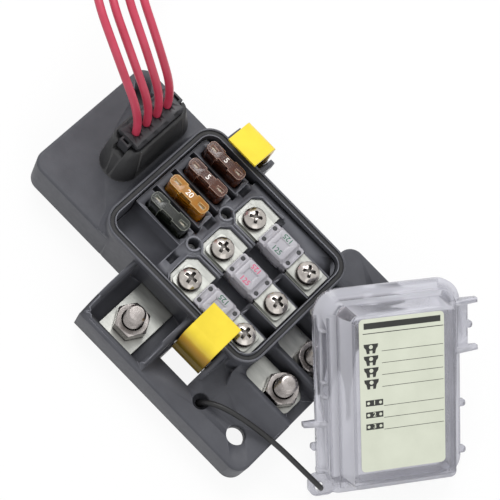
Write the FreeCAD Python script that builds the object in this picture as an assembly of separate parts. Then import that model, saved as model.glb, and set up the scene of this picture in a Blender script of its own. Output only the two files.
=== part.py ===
import FreeCAD, Part
import math
import os

# A marine blade fuse block: moulded base, clear cover taken off and leaning on it.
# Frame: origin on the underside, straight below the wire-side screw of the middle strap
# fuse. X runs from the wire end to the output studs, Y across the block, Z up.

# Standard parts that set the scale
STRAP_PITCH = 30.0
STRAP_WIDTH = 10.4
STRAP_LENGTH = 40.0
BLADE_LENGTH = 19.1
BLADE_WIDTH = 5.1
BLADE_HEIGHT = 12.4
STUD_R = 4.0
STUD_CHAMFER = 1.0
NUT_FLATS = 12.7
NUT_HEIGHT = 6.2

# Rows and columns
ROW_PITCH = 18.65
ROWS = [ROW_PITCH, 0.0, -ROW_PITCH]
BLADE_PITCH = 10.6
BLADE_FIRST_Y = 24.9
BLADE_X = -24.0
BLADES = [BLADE_FIRST_Y - i * BLADE_PITCH for i in range(4)]
FEED_STUD = (-4.3, -43.3)

# Outline of the base
WIRE_END = -77.3
FRONT = -55.7
EAR_BACK = 47.8
PLATE_FRONT = -28.1
PLATE_BACK = 36.0
PLATE_TOP = 18.7
FLANGE_TOP = 14.6
CORNER_R = 6.0
TUB_X = (-41.0, 41.0)
OUTPUT_REACH = 14.5
OUTPUT_X = TUB_X[1] + OUTPUT_REACH
OUTPUT_MARGIN = 12.3
STUD_END = OUTPUT_X + OUTPUT_MARGIN
TUB_Y = (-28.7, 35.1)
TUB_R = 9.0
RIM_TOP = 29.0
RIM_DEPTH = 3.4
RIM_STEP = 0.6
SKIRT = 2.4
EDGE_ROUND = 1.1
RIM_ROUND = 0.5
TUB_WALL = 3.6
FLOOR_TOP = 10.5
FLOOR_UNDER = 7.5
SKIN = 2.4

# Gasket groove in the rim
GROOVE_IN = 1.0
GROOVE_WIDTH = 1.7
GROOVE_DEPTH = 2.2
GASKET_PROUD = 0.5
GASKET_PLAY = 0.1

# Bars, terminals and screws
BAR_THICK = 1.5
BAR_TOP = FLOOR_TOP + BAR_THICK
FEED_BAR_X = (-12.9, 4.7)
FEED_BAR_FRONT = -52.4
BAR_END_GAP = 5.0
OUT_BAR_WIDTH = 12.4
OUT_BAR_OVER = 8.1
OUT_BAR_END = OUTPUT_X + OUT_BAR_OVER
PLAY = 0.15
TERMINAL_TOP = 25.4
TERMINAL_THICK = 1.5
PILLAR_R = 4.6
SCREW_R = 2.5
SCREW_HEAD_R = 4.5
SCREW_HEAD_HEIGHT = 3.0
CROSS_REACH = 2.7
CROSS_HALF = 0.65
WASHER_R = 4.9
STRAP_THICK = 1.6
STRAP_TOP = TERMINAL_TOP + STRAP_THICK
WASHERS = 1.2
SCREW_TOP = STRAP_TOP + WASHERS + SCREW_HEAD_HEIGHT
STRAP_HOLE_R = 2.7
DECK_SCREW_R = 1.2
STRAP_BODY_LENGTH = 16.4
STRAP_BODY_TOP = STRAP_TOP + 1.7
STRAP_BODY_CROWN = 1.5
STRAP_BODY_BOTTOM = TERMINAL_TOP - 3.2
STRAP_BODY_WIDTH = 11.6
BODY_GAP = 0.35
TERMINAL_END = STRAP_PITCH / 2 - STRAP_BODY_LENGTH / 2 - BODY_GAP
FEED_PLATE_Y = (-6.2, 9.3)
FEED_PLATE_X = -6.9
OUT_PLATE_HALF = 5.8
OUT_PLATE_END = 6.8
RIVET_R = 0.9
BLADE_METAL = 0.65
BLADE_METAL_WIDTH = 5.2
BLADE_METAL_REACH = 6.8
BLADE_TOP = 34.4
BLADE_BOTTOM = BLADE_TOP - BLADE_HEIGHT
OUT_STUD_TOP = 26.7
FEED_STUD_TOP = 27.0
STUD_FOOT = 5.6

# Mounting holes
HOLE_R = 4.1
HOLES = [(-67.6, 25.5), (OUTPUT_X, -44.6), (OUTPUT_X, 37.2)]
HOLE_BOSS_R = 7.0

# Feed pocket
POCKET_X = (-18.2, 10.0)
POCKET_WALL = 2.3
POCKET_FRONT = -53.2
POCKET_HIGH = 25.0
POCKET_SHOULDER = (-45.5, 22.6)

# Output pockets
OUT_WALL_TOP = 19.6
OUT_POCKET_WIDTH = 15.7
OUT_WALL = 2.6

# Latches
LATCH_X = (-21.7, 20.9)
LATCH_WIDTH = 14.8
LATCH_OUT = 7.8
LATCH_PIN_Z = 17.0
LATCH_PIN_R = 1.25
LATCH_PIN_PLAY = 0.06
LATCH_BARREL_R = 2.7
LATCH_THICK = 2.3
LATCH_BEND_Z = 35.2
LATCH_ARM = 14.6
LATCH_RISE = 20.0
EAR_THICK = 2.2
EAR_GAP = 0.5

# Tower and connector
TOWER_X = -53.6
TOWER_Y = 12.0
TOWER_BASE = (17.4, 43.0)
TOWER_HEAD = (13.6, 31.5)
TOWER_TOP = 37.6
PLUG_X = -55.0
PLUG_Y = 11.7
PLUG_SIZE = (9.6, 24.6)
PLUG_TOP = 41.2
PLUG_BOTTOM = 24.0
PLUG_PLAY = 0.2
WIRE_PITCH = 5.8
WIRE_D = 3.3
WIRE_TOP = PLUG_TOP

# Cover, in its own axes: a across, b along, c out of its face
COVER_W = 60.8
COVER_H = 82.8
COVER_DEPTH = 19.6
COVER_SKIN = 2.0
COVER_FLANGE = 2.6
COVER_R = 9.5
COVER_STEP = 3.4
COVER_STEP_TOP = 7.4
COVER_SIDE = (6.6, 4.9)
COVER_DRAFT = 2.6
COVER_FOOT = (OUTPUT_X + 39.1, -33.0)
COVER_HEADING = 54.4
REST_GAP = 0.3

# Tether
ANCHOR = (36.7, -45.4)
TETHER_D = 2.2


def box(x0, x1, y0, y1, z0, z1):
    return Part.makeBox(x1 - x0, y1 - y0, z1 - z0, FreeCAD.Vector(x0, y0, z0))


def rounded_wire(x0, x1, y0, y1, z, r):
    k = r * (1 - math.sqrt(0.5))
    v = FreeCAD.Vector
    edges = [
        Part.LineSegment(v(x0 + r, y0, z), v(x1 - r, y0, z)).toShape(),
        Part.Arc(v(x1 - r, y0, z), v(x1 - k, y0 + k, z), v(x1, y0 + r, z)).toShape(),
        Part.LineSegment(v(x1, y0 + r, z), v(x1, y1 - r, z)).toShape(),
        Part.Arc(v(x1, y1 - r, z), v(x1 - k, y1 - k, z), v(x1 - r, y1, z)).toShape(),
        Part.LineSegment(v(x1 - r, y1, z), v(x0 + r, y1, z)).toShape(),
        Part.Arc(v(x0 + r, y1, z), v(x0 + k, y1 - k, z), v(x0, y1 - r, z)).toShape(),
        Part.LineSegment(v(x0, y1 - r, z), v(x0, y0 + r, z)).toShape(),
        Part.Arc(v(x0, y0 + r, z), v(x0 + k, y0 + k, z), v(x0 + r, y0, z)).toShape(),
    ]
    return Part.Wire(edges)


def slab(x0, x1, y0, y1, z0, z1, r):
    face = Part.Face(rounded_wire(x0, x1, y0, y1, z0, r))
    return face.extrude(FreeCAD.Vector(0, 0, z1 - z0))


def soft_slab(x0, x1, y0, y1, z0, z1, r, edge):
    solid = slab(x0, x1, y0, y1, z0, z1, r)
    top = [e for e in solid.Edges if min(v.Point.z for v in e.Vertexes) > z1 - 0.01]
    return solid.makeFillet(edge, top)


def tub_slab(inset, z0, z1):
    r = max(TUB_R - inset, 1.0)
    return slab(TUB_X[0] + inset, TUB_X[1] - inset, TUB_Y[0] + inset, TUB_Y[1] - inset, z0, z1, r)


def drum(x, y, z0, z1, r):
    return Part.makeCylinder(r, z1 - z0, FreeCAD.Vector(x, y, z0))


def drum_x(x0, x1, y, z, r):
    return Part.makeCylinder(r, x1 - x0, FreeCAD.Vector(x0, y, z), FreeCAD.Vector(1, 0, 0))


def prism_x(x0, x1, points):
    ring = [FreeCAD.Vector(x0, y, z) for y, z in points]
    face = Part.Face(Part.makePolygon(ring + ring[:1]))
    return face.extrude(FreeCAD.Vector(x1 - x0, 0, 0))


def prism_z(z0, z1, points):
    ring = [FreeCAD.Vector(x, y, z0) for x, y in points]
    face = Part.Face(Part.makePolygon(ring + ring[:1]))
    return face.extrude(FreeCAD.Vector(0, 0, z1 - z0))


def joined(shapes):
    whole = shapes[0].multiFuse(shapes[1:]) if len(shapes) > 1 else shapes[0]
    return whole.removeSplitter()


def without(shape, cutters):
    return shape.cut(cutters).removeSplitter()


def save(node, shape):
    shape.exportStep("parts/" + node + ".step")
    print(node, len(shape.Solids), "solids", round(shape.Volume), "mm3", shape.isValid())


# Base moulding

def underside_cells(x0, x1, y0, y1, columns, rows, top):
    rib = 1.8
    width = (x1 - x0 - rib * (columns - 1)) / columns
    depth = (y1 - y0 - rib * (rows - 1)) / rows
    cells = []
    for i in range(columns):
        for j in range(rows):
            left = x0 + i * (width + rib)
            low = y0 + j * (depth + rib)
            cells.append(box(left, left + width, low, low + depth, -1, top))
    return cells


def pocket_body():
    x0 = POCKET_X[0] - POCKET_WALL
    v = FreeCAD.Vector
    back = v(x0, TUB_Y[0] + 3, POCKET_HIGH)
    brow = v(x0, POCKET_SHOULDER[0] + 5.0, POCKET_HIGH - 0.5)
    shoulder = v(x0, POCKET_SHOULDER[0] - 0.6, POCKET_SHOULDER[1] - 0.3)
    chest = v(x0, FRONT + 4.0, FLANGE_TOP + 3.4)
    toe = v(x0, FRONT + 1.2, FLANGE_TOP)
    lip = v(x0, FRONT, FLANGE_TOP - 1.4)
    sole = v(x0, FRONT, 0)
    heel = v(x0, TUB_Y[0] + 3, 0)
    edges = [
        Part.LineSegment(back, brow).toShape(),
        Part.Arc(brow, shoulder, chest).toShape(),
        Part.LineSegment(chest, toe).toShape(),
        Part.LineSegment(toe, lip).toShape(),
        Part.LineSegment(lip, sole).toShape(),
        Part.LineSegment(sole, heel).toShape(),
        Part.LineSegment(heel, back).toShape(),
    ]
    length = POCKET_X[1] - POCKET_X[0] + 2 * POCKET_WALL
    return Part.Face(Part.Wire(edges)).extrude(v(length, 0, 0))


def latch_place(index):
    side = 1 if index == 0 else -1
    edge = TUB_Y[1] if index == 0 else TUB_Y[0]
    return LATCH_X[index], edge + side * LATCH_OUT, side


def latch_ears(index):
    x, pin_y, side = latch_place(index)
    wall = TUB_Y[1] - 2.0 if index == 0 else TUB_Y[0] + 2.0
    reach = pin_y + side * 3.4
    outline = [(wall, 7.5), (wall, 25.4), (pin_y, 20.6), (reach, 18.8), (reach, 14.4), (wall + side * 3.4, 7.5)]
    if index == 1:
        outline = [(wall, 7.5), (wall, 25.4), (pin_y, 20.6), (reach, 18.8), (reach, 7.5)]
    ears = []
    for end in (-1, 1):
        inner = x + end * (LATCH_WIDTH / 2 + EAR_GAP)
        outer = inner + end * EAR_THICK
        ears.append(prism_x(min(inner, outer), max(inner, outer), outline))
    return ears


def output_walls():
    low = ROWS[2] - OUT_POCKET_WIDTH / 2 - OUT_WALL
    high = ROWS[0] + OUT_POCKET_WIDTH / 2 + OUT_WALL
    outline = [(low - 4.6, 3), (low - 4.6, FLANGE_TOP), (low, OUT_WALL_TOP), (high, OUT_WALL_TOP),
               (high + 4.0, FLANGE_TOP), (high + 4.0, 3)]
    walls = prism_x(TUB_X[1] - 8.0, STUD_END - 0.8, outline)
    return walls.common(slab(TUB_X[1] - 4.0, STUD_END + 4.0, low - 5.4, high + 5.0, 0, RIM_TOP, 5.4))


def tub_skirt():
    low = rounded_wire(TUB_X[0] - SKIRT, TUB_X[1] + SKIRT, TUB_Y[0] - SKIRT, TUB_Y[1] + SKIRT, PLATE_TOP - 0.4,
                       TUB_R + SKIRT)
    high = rounded_wire(TUB_X[0] + RIM_STEP, TUB_X[1] - RIM_STEP, TUB_Y[0] + RIM_STEP, TUB_Y[1] - RIM_STEP,
                        PLATE_TOP + 2.4, TUB_R - RIM_STEP)
    cone = Part.makeLoft([low, high], True, True)
    return cone.common(slab(WIRE_END, TUB_X[0] + 12, PLATE_FRONT, PLATE_BACK, 0, RIM_TOP, CORNER_R))


def tower_loft(grow, z0, z1):
    foot = rounded_wire(TOWER_X - TOWER_BASE[0] / 2 - grow, TOWER_X + TOWER_BASE[0] / 2 + grow,
                        TOWER_Y - TOWER_BASE[1] / 2 - grow, TOWER_Y + TOWER_BASE[1] / 2 + grow, z0, 8.0)
    head_x = PLUG_X
    head = rounded_wire(head_x - TOWER_HEAD[0] / 2 - grow, head_x + TOWER_HEAD[0] / 2 + grow,
                        TOWER_Y - TOWER_HEAD[1] / 2 - grow, TOWER_Y + TOWER_HEAD[1] / 2 + grow, z1, 4.0)
    return Part.makeLoft([foot, head], True, True)


def mounting_cutters():
    cutters = [drum(x, y, -1, RIM_TOP, HOLE_R) for x, y in HOLES]
    return cutters


def output_bar_shape(y, grow):
    left = STRAP_PITCH - PILLAR_R - 1.0 - grow
    right = OUT_BAR_END + grow
    half = OUT_BAR_WIDTH / 2 + grow
    return slab(left, right, y - half, y + half, FLOOR_TOP, BAR_TOP + grow, 3.5)


def feed_bar_shape(grow):
    back = ROWS[0] + BAR_END_GAP + grow
    return slab(FEED_BAR_X[0] - grow, FEED_BAR_X[1] + grow, FEED_BAR_FRONT - grow, back,
                FLOOR_TOP, BAR_TOP + grow, 0.8)


def make_feed_bar():
    holes = [drum(x, y, 0, RIM_TOP, DECK_SCREW_R + 0.6) for x, y in deck_screw_places()]
    holes.append(drum(FEED_STUD[0], FEED_STUD[1], 0, RIM_TOP, STUD_R + PLAY))
    return feed_bar_shape(0.0).cut(holes)


def make_base():
    body = joined([
        soft_slab(WIRE_END, TUB_X[0] + 12, PLATE_FRONT, PLATE_BACK, 0, PLATE_TOP, CORNER_R, EDGE_ROUND),
        tub_slab(RIM_STEP, 0, RIM_TOP - 1),
        soft_slab(TUB_X[0], TUB_X[1], TUB_Y[0], TUB_Y[1], RIM_TOP - RIM_DEPTH, RIM_TOP, TUB_R, RIM_ROUND),
        tub_skirt(),
        soft_slab(TUB_X[1] - 8, STUD_END, FRONT, EAR_BACK, 0, FLANGE_TOP, CORNER_R, EDGE_ROUND),
        soft_slab(POCKET_X[0] - POCKET_WALL, STUD_END, FRONT, TUB_Y[0] + 4, 0, FLANGE_TOP, CORNER_R, EDGE_ROUND),
        output_walls(),
        pocket_body(),
        tower_loft(0, PLATE_TOP, TOWER_TOP),
    ] + latch_ears(0) + latch_ears(1))
    return without(body, base_cutters())


def base_cutters():
    cavity = tub_slab(TUB_WALL, FLOOR_TOP, RIM_TOP + 1)
    groove = tub_slab(GROOVE_IN, RIM_TOP - GROOVE_DEPTH, RIM_TOP + 1).cut(
        tub_slab(GROOVE_IN + GROOVE_WIDTH, RIM_TOP - GROOVE_DEPTH, RIM_TOP + 1))
    feed = slab(POCKET_X[0], POCKET_X[1], POCKET_FRONT, TUB_Y[0] + RIM_STEP, FLOOR_TOP, RIM_TOP - RIM_DEPTH, 1.5)
    cutters = [cavity, groove, feed]
    for y in ROWS:
        half = OUT_POCKET_WIDTH / 2
        cutters.append(slab(TUB_X[1] - RIM_STEP, STUD_END + 8, y - half, y + half, FLOOR_TOP, RIM_TOP - RIM_DEPTH, 2.5))
        cutters.append(output_bar_shape(y, PLAY))
        cutters.append(drum(OUTPUT_X, y, -1, FLOOR_TOP + 1, STUD_R + PLAY))
        cutters.append(hexagon(OUTPUT_X, y, -1, STUD_FOOT + PLAY, NUT_FLATS + 2 * PLAY))
    cutters.append(feed_bar_shape(PLAY))
    cutters.append(drum(FEED_STUD[0], FEED_STUD[1], -1, FLOOR_TOP + 1, STUD_R + PLAY))
    cutters.append(hexagon(FEED_STUD[0], FEED_STUD[1], -1, STUD_FOOT + PLAY, NUT_FLATS + 2 * PLAY))
    cutters += mounting_cutters()
    cutters.append(drum(HOLES[1][0], HOLES[1][1], -1, FLANGE_TOP - 6.5, 7.5))
    cutters.append(drum(HOLES[2][0], HOLES[2][1], -1, FLANGE_TOP - 6.5, 7.5))
    window = box(LATCH_X[1] - LATCH_WIDTH / 2 - 0.3, LATCH_X[1] + LATCH_WIDTH / 2 + 0.3,
                 -45.0, TUB_Y[0] - 2.4, -1, FLANGE_TOP + 6)
    cutters.append(window)
    for index in (0, 1):
        x, y, side = latch_place(index)
        reach = LATCH_WIDTH / 2 + EAR_GAP + EAR_THICK + 1
        cutters.append(drum_x(x - reach, x + reach, y, LATCH_PIN_Z, LATCH_PIN_R))
    cutters.append(drum(ANCHOR[0], ANCHOR[1], FLANGE_TOP - 3.0, FLANGE_TOP + 1, 3.4))
    cutters.append(drum(ANCHOR[0], ANCHOR[1], FLANGE_TOP - 5.0, FLANGE_TOP + 1, TETHER_D / 2 + 0.6))
    socket = box(PLUG_X - PLUG_SIZE[0] / 2 - PLUG_PLAY, PLUG_X + PLUG_SIZE[0] / 2 + PLUG_PLAY,
                 PLUG_Y - PLUG_SIZE[1] / 2 - PLUG_PLAY, PLUG_Y + PLUG_SIZE[1] / 2 + PLUG_PLAY,
                 PLUG_BOTTOM - 0.2, TOWER_TOP + 1)
    notch = box(PLUG_X - 2.6, PLUG_X + 2.6, TOWER_Y - TOWER_HEAD[1] / 2 - 2, TOWER_Y + TOWER_HEAD[1] / 2 + 2,
                TOWER_TOP - 5.0, TOWER_TOP + 1)
    cutters += [socket, notch]
    cutters += [drum(x, y, FLOOR_UNDER + 1.0, FLOOR_TOP + 1, DECK_SCREW_R) for x, y in deck_screw_places()]
    for strip in range(4):
        cutters.append(strip_path(strip, PLAY))
    cutters += underside_cells(WIRE_END + SKIN, TUB_X[0] - 22, PLATE_FRONT + SKIN, 14.0, 1, 3, PLATE_TOP - SKIN)
    cutters += underside_cells(TUB_X[0] - 20, TUB_X[0] - 2, PLATE_FRONT + SKIN, PLATE_BACK - SKIN, 1, 3, FLOOR_UNDER)
    cutters += underside_cells(TUB_X[0] + 1, -9 - NUT_FLATS, TUB_Y[0] + 3, TUB_Y[1] - 3, 1, 3, FLOOR_UNDER)
    cutters += underside_cells(-20, STUD_END - 24, TUB_Y[0] + 4, TUB_Y[1] - 3, 4, 3, FLOOR_UNDER)
    return cutters


def hexagon(x, y, z0, z1, flats, turn=0.0):
    r = flats / math.sqrt(3)
    ring = [(x + r * math.cos(math.radians(60 * i + turn)), y + r * math.sin(math.radians(60 * i + turn)))
            for i in range(6)]
    return prism_z(z0, z1, ring)


# Contact strips inside the base, from each blade fuse to the connector

def strip_path(index, grow):
    y = BLADES[index]
    pin_y = PLUG_Y + (1.5 - index) * WIRE_PITCH
    turn_x = TUB_X[0] - (6.5 if index == 3 else 3.0)
    z0 = FLOOR_TOP + 2.5
    z1 = z0 + 0.8
    half = 0.8
    g = grow
    pieces = [
        box(turn_x - half - g, BLADE_X - 4.2 + g, y - half - g, y + half + g, z0 - g, z1 + g),
        box(turn_x - half - g, turn_x + half + g, min(y, pin_y) - half - g, max(y, pin_y) + half + g, z0 - g, z1 + g),
        box(PLUG_X - half - g, turn_x + half + g, pin_y - half - g, pin_y + half + g, z0 - g, z1 + g),
        box(PLUG_X - half - g, PLUG_X + half + g, pin_y - half - g, pin_y + half + g, z0 - g, PLUG_BOTTOM + 5.0 + g),
    ]
    return joined(pieces)


def clip(x, y, foot):
    w = BLADE_METAL_WIDTH / 2
    gap = BLADE_METAL / 2 + 0.03
    sides = [box(x - w, x + w, y + gap, y + gap + 0.5, foot, BLADE_BOTTOM - 1.2),
             box(x - w, x + w, y - gap - 0.5, y - gap, foot, BLADE_BOTTOM - 1.2),
             box(x - w, x + w, y - gap - 0.5, y + gap + 0.5, foot, foot + 0.8)]
    return sides


BLADE_HALF = 6.6


def make_strip(index):
    foot = FLOOR_TOP + 2.5
    return joined([strip_path(index, 0.0)] + clip(BLADE_X - BLADE_HALF, BLADES[index], foot))


def blade_bus_plate(grow):
    x = BLADE_X + BLADE_HALF
    z0 = FLOOR_TOP
    return box(x - 2.6 - grow, FEED_BAR_X[0] - 0.3, BLADES[3] - 3 - grow, BLADES[0] + 3 + grow, z0, z0 + 1.2 + grow)


def make_blade_bus():
    x = BLADE_X + BLADE_HALF
    pieces = [blade_bus_plate(0.0)]
    for y in BLADES:
        pieces += clip(x, y, FLOOR_TOP + 0.6)
    return joined(pieces)


# Fuse deck, the inner moulding that carries the fuses

DECK_PLAY = 0.35
WELL_TOP = 26.2
WELL_WALL = 1.0
DECK_LOW = 16.0
MID_TOP = TERMINAL_TOP + 0.4
FRAME_TOP = TERMINAL_TOP + 1.2
FRAME_WALL = 1.1
MID_END = -6.6
DECK_SCREW_DEEP = 8.4


def deck_slab(z0, z1):
    return tub_slab(TUB_WALL + DECK_PLAY, z0, z1)


def shoulder(x0, y0):
    wall = TUB_Y[1] - TUB_WALL
    slope = 0.34
    high = TERMINAL_TOP + 1.3
    outline = [(y0, FLOOR_TOP), (y0, high - slope * (wall - y0)), (wall + 1.0, high + slope), (wall + 1.0, FLOOR_TOP)]
    return prism_x(x0, TUB_X[1], outline)


def feed_plate_ring(y, grow):
    low = y + FEED_PLATE_Y[0] - grow
    high = y + FEED_PLATE_Y[1] + grow
    return chamfered(FEED_PLATE_X - grow, TERMINAL_END + grow, low, high, 3.0 + grow * 0.6)


def make_deck():
    inner_left = TUB_X[0] + TUB_WALL
    well_end = BLADE_X + BLADE_LENGTH / 2
    blocks = [deck_slab(FLOOR_TOP, DECK_LOW)]
    blocks.append(box(inner_left, well_end + 1.9, BLADES[3] - 4.2, TUB_Y[1], FLOOR_TOP, WELL_TOP))
    blocks.append(box(well_end + 1.5, MID_END, TUB_Y[0], TUB_Y[1] - 6.0, FLOOR_TOP, MID_TOP))
    blocks.append(box(MID_END - 1.0, TERMINAL_END + 0.5, ROWS[2] + FEED_PLATE_Y[0] - FRAME_WALL,
                      ROWS[0] + FEED_PLATE_Y[1] + FRAME_WALL, FLOOR_TOP, MID_TOP))
    for y in ROWS:
        blocks.append(prism_z(FLOOR_TOP, FRAME_TOP, feed_plate_ring(y, FRAME_WALL)))
        side = OUT_PLATE_HALF + FRAME_WALL
        blocks.append(box(STRAP_PITCH - TERMINAL_END - 0.3, TUB_X[1], y - side, y + side, FLOOR_TOP,
                          TERMINAL_TOP - 0.3))
    for y in (ROWS[0] - ROW_PITCH / 2, ROWS[1] - ROW_PITCH / 2):
        half = ROW_PITCH / 2 - STRAP_BODY_WIDTH / 2 - 0.4
        wall = STRAP_PITCH - TERMINAL_END
        blocks.append(box(wall - FRAME_WALL, wall + 0.4, y - half, y + half, FLOOR_TOP, TERMINAL_TOP - 0.3))
    for x, y in deck_screw_places():
        blocks.append(drum(x, y, FLOOR_TOP, MID_TOP + 0.5, 3.4))
    blocks.append(shoulder(MID_END - 4.0, ROWS[0] + FEED_PLATE_Y[1] + FRAME_WALL))
    blocks.append(shoulder(TERMINAL_END + 0.6, ROWS[0] + STRAP_BODY_WIDTH / 2 + 2 * BODY_GAP))
    solid = joined([b.common(deck_slab(FLOOR_TOP, RIM_TOP)) for b in blocks])
    return without(solid, deck_cutters())


def chamfered(x0, x1, y0, y1, c):
    return [(x0 + c, y0), (x1, y0), (x1, y1), (x0 + c, y1), (x0, y1 - c), (x0, y0 + c)]


def deck_cutters():
    cutters = []
    for i, y in enumerate(BLADES):
        cutters.append(slab(BLADE_X - BLADE_LENGTH / 2 - 0.4, BLADE_X + BLADE_LENGTH / 2 + 0.4,
                            y - BLADE_WIDTH / 2 - 0.4, y + BLADE_WIDTH / 2 + 0.4, BLADE_BOTTOM, WELL_TOP + 1, 1.4))
        for side in (-1, 1):
            x = BLADE_X + side * BLADE_HALF
            w = BLADE_METAL_WIDTH / 2 + 0.4
            cutters.append(box(x - w, x + w, y - 1.2, y + 1.2, FLOOR_TOP - 1, BLADE_BOTTOM + 1))
        cutters.append(strip_path(i, PLAY))
    for i in range(3):
        y = BLADES[i] - BLADE_PITCH / 2
        half = (BLADE_PITCH - BLADE_WIDTH - 0.8) / 2 - WELL_WALL
        cutters.append(box(TUB_X[0] + TUB_WALL + 1.2, BLADE_X + BLADE_LENGTH / 2 + 3.0, y - half, y + half,
                           DECK_LOW + 2, WELL_TOP + 1))
    cutters.append(box(TUB_X[0], BLADE_X + BLADE_LENGTH / 2 + 3.0, BLADES[0] + BLADE_WIDTH / 2 + 1.4, TUB_Y[1],
                       DECK_LOW + 2, WELL_TOP + 1))
    cutters.append(feed_bar_shape(PLAY))
    cutters.append(blade_bus_plate(PLAY))
    for y in ROWS:
        cutters.append(output_bar_shape(y, PLAY))
        cutters.append(drum(0, y, FLOOR_TOP - 1, TERMINAL_TOP, PILLAR_R + PLAY))
        cutters.append(drum(STRAP_PITCH, y, FLOOR_TOP - 1, TERMINAL_TOP, PILLAR_R + PLAY))
        seat = TERMINAL_TOP - TERMINAL_THICK
        half = OUT_PLATE_HALF + PLAY
        cutters.append(prism_z(seat, FRAME_TOP + 1, feed_plate_ring(y, PLAY)))
        cutters.append(box(TERMINAL_END - 1.0, TERMINAL_END + 3.0, y + FEED_PLATE_Y[0] - PLAY,
                           y + FEED_PLATE_Y[1] + PLAY, seat, FRAME_TOP + 1))
        cutters.append(box(STRAP_PITCH - TERMINAL_END - 1.0, STRAP_PITCH + OUT_PLATE_END + PLAY, y - half, y + half,
                           seat, FRAME_TOP + 1))
        body = STRAP_BODY_WIDTH / 2 + BODY_GAP
        cutters.append(box(TERMINAL_END + 0.1, STRAP_PITCH - TERMINAL_END - 0.1, y - body, y + body,
                           DECK_LOW, FRAME_TOP + 1))
    for x, y in deck_screw_places():
        cutters.append(drum(x, y, MID_TOP - DECK_SCREW_DEEP, MID_TOP + 3, 2.3))
        cutters.append(drum(x, y, FLOOR_TOP - 1, MID_TOP, DECK_SCREW_R + 0.1))
    for y in (25.0, 4.6, -16.6):
        cutters.append(box(-12.4, -9.4, y - 2.6, y + 2.6, MID_TOP - 4, MID_TOP + 3))
    return cutters


def deck_screw_places():
    return [(-9.3, ROW_PITCH / 2 + 3.2), (-9.3, -ROW_PITCH / 2 + 3.0)]


# Loose hardware

def make_deck_screws():
    screws = []
    for x, y in deck_screw_places():
        foot = MID_TOP - DECK_SCREW_DEEP
        head = drum(x, y, foot, foot + 2.0, 2.0)
        shank = drum(x, y, FLOOR_UNDER + 1.0, foot, DECK_SCREW_R)
        cross = [box(x - 1.2, x + 1.2, y - 0.25, y + 0.25, foot + 1.0, MID_TOP),
                 box(x - 0.25, x + 0.25, y - 1.2, y + 1.2, foot + 1.0, MID_TOP)]
        screws.append(without(joined([head, shank]), cross))
    return Part.Compound(screws)


def make_gasket():
    outer = GROOVE_IN + GASKET_PLAY
    inner = GROOVE_IN + GROOVE_WIDTH - GASKET_PLAY
    low = RIM_TOP - GROOVE_DEPTH
    return tub_slab(outer, low, RIM_TOP - GASKET_PROUD).cut(tub_slab(inner, low, RIM_TOP - GASKET_PROUD))


def make_pillars(x):
    posts = []
    for y in ROWS:
        post = drum(x, y, BAR_TOP, TERMINAL_TOP - TERMINAL_THICK, PILLAR_R)
        posts.append(post.cut(drum(x, y, BAR_TOP + 1.5, TERMINAL_TOP, SCREW_R)))
    return Part.Compound(posts)


def make_feed_terminal(y):
    plate = prism_z(TERMINAL_TOP - TERMINAL_THICK, TERMINAL_TOP, feed_plate_ring(y, 0.0))
    return plate.cut(drum(0, y, 0, RIM_TOP, STRAP_HOLE_R))


def make_output_terminal(y):
    plate = slab(STRAP_PITCH - TERMINAL_END, STRAP_PITCH + OUT_PLATE_END, y - OUT_PLATE_HALF, y + OUT_PLATE_HALF,
                 TERMINAL_TOP - TERMINAL_THICK, TERMINAL_TOP, 0.5)
    plate = plate.common(tub_slab(TUB_WALL + PLAY, 0, RIM_TOP))
    return plate.cut(drum(STRAP_PITCH, y, 0, RIM_TOP, STRAP_HOLE_R))


def make_strap_element(y):
    half = STRAP_WIDTH / 2
    over = (STRAP_LENGTH - STRAP_PITCH) / 2
    plate = slab(-over, STRAP_PITCH + over, y - half, y + half, TERMINAL_TOP, STRAP_TOP, 2.0)
    mid = STRAP_PITCH / 2
    waist = [box(mid - 3.2, mid + 3.2, y + 1.6, y + half + 1, TERMINAL_TOP - 1, STRAP_TOP + 1),
             box(mid - 3.2, mid + 3.2, y - half - 1, y - 1.6, TERMINAL_TOP - 1, STRAP_TOP + 1)]
    holes = [drum(0, y, 0, RIM_TOP, STRAP_HOLE_R), drum(STRAP_PITCH, y, 0, RIM_TOP, STRAP_HOLE_R)]
    return plate.cut(waist + holes)


def strap_crown(y, grow, z0, z1, narrow):
    mid = STRAP_PITCH / 2
    half = STRAP_BODY_LENGTH / 2 - 2.9 + grow
    width = STRAP_BODY_WIDTH / 2 + grow
    low = rounded_wire(mid - half, mid + half, y - width, y + width, z0, 1.2)
    high = rounded_wire(mid - half + narrow, mid + half - narrow, y - width + narrow, y + width - narrow, z1, 0.8)
    return Part.makeLoft([low, high], True, True)


def make_strap_body(y):
    mid = STRAP_PITCH / 2
    half = STRAP_BODY_LENGTH / 2
    width = STRAP_BODY_WIDTH / 2
    top = STRAP_BODY_TOP + STRAP_BODY_CROWN
    body = joined([
        soft_slab(mid - half, mid + half, y - width + 0.3, y + width - 0.3, STRAP_BODY_BOTTOM, STRAP_BODY_TOP,
                  1.2, 0.4),
        strap_crown(y, 0.0, STRAP_BODY_BOTTOM, STRAP_BODY_TOP, 0.01),
        strap_crown(y, 0.0, STRAP_BODY_TOP, top, 1.0),
    ])
    slot_half = STRAP_WIDTH / 2 + 0.1
    slot = box(mid - half - 1, mid + half + 1, y - slot_half, y + slot_half, TERMINAL_TOP, STRAP_TOP)
    cores = [box(mid - 3.1, mid + 3.1, y - width - 1, y - 1.7, TERMINAL_TOP, STRAP_TOP),
             box(mid - 3.1, mid + 3.1, y + 1.7, y + width + 1, TERMINAL_TOP, STRAP_TOP)]
    window = slab(mid - 2.5, mid + 2.5, y - 1.9, y + 1.9, top - 0.5, top + 1, 0.6)
    rivets = [drum(px, py, STRAP_BODY_TOP - 1.4, STRAP_BODY_TOP + 1, RIVET_R + 0.1) for px, py in rivet_places(y)]
    return without(body, [slot.cut(cores), window] + rivets)


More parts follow.
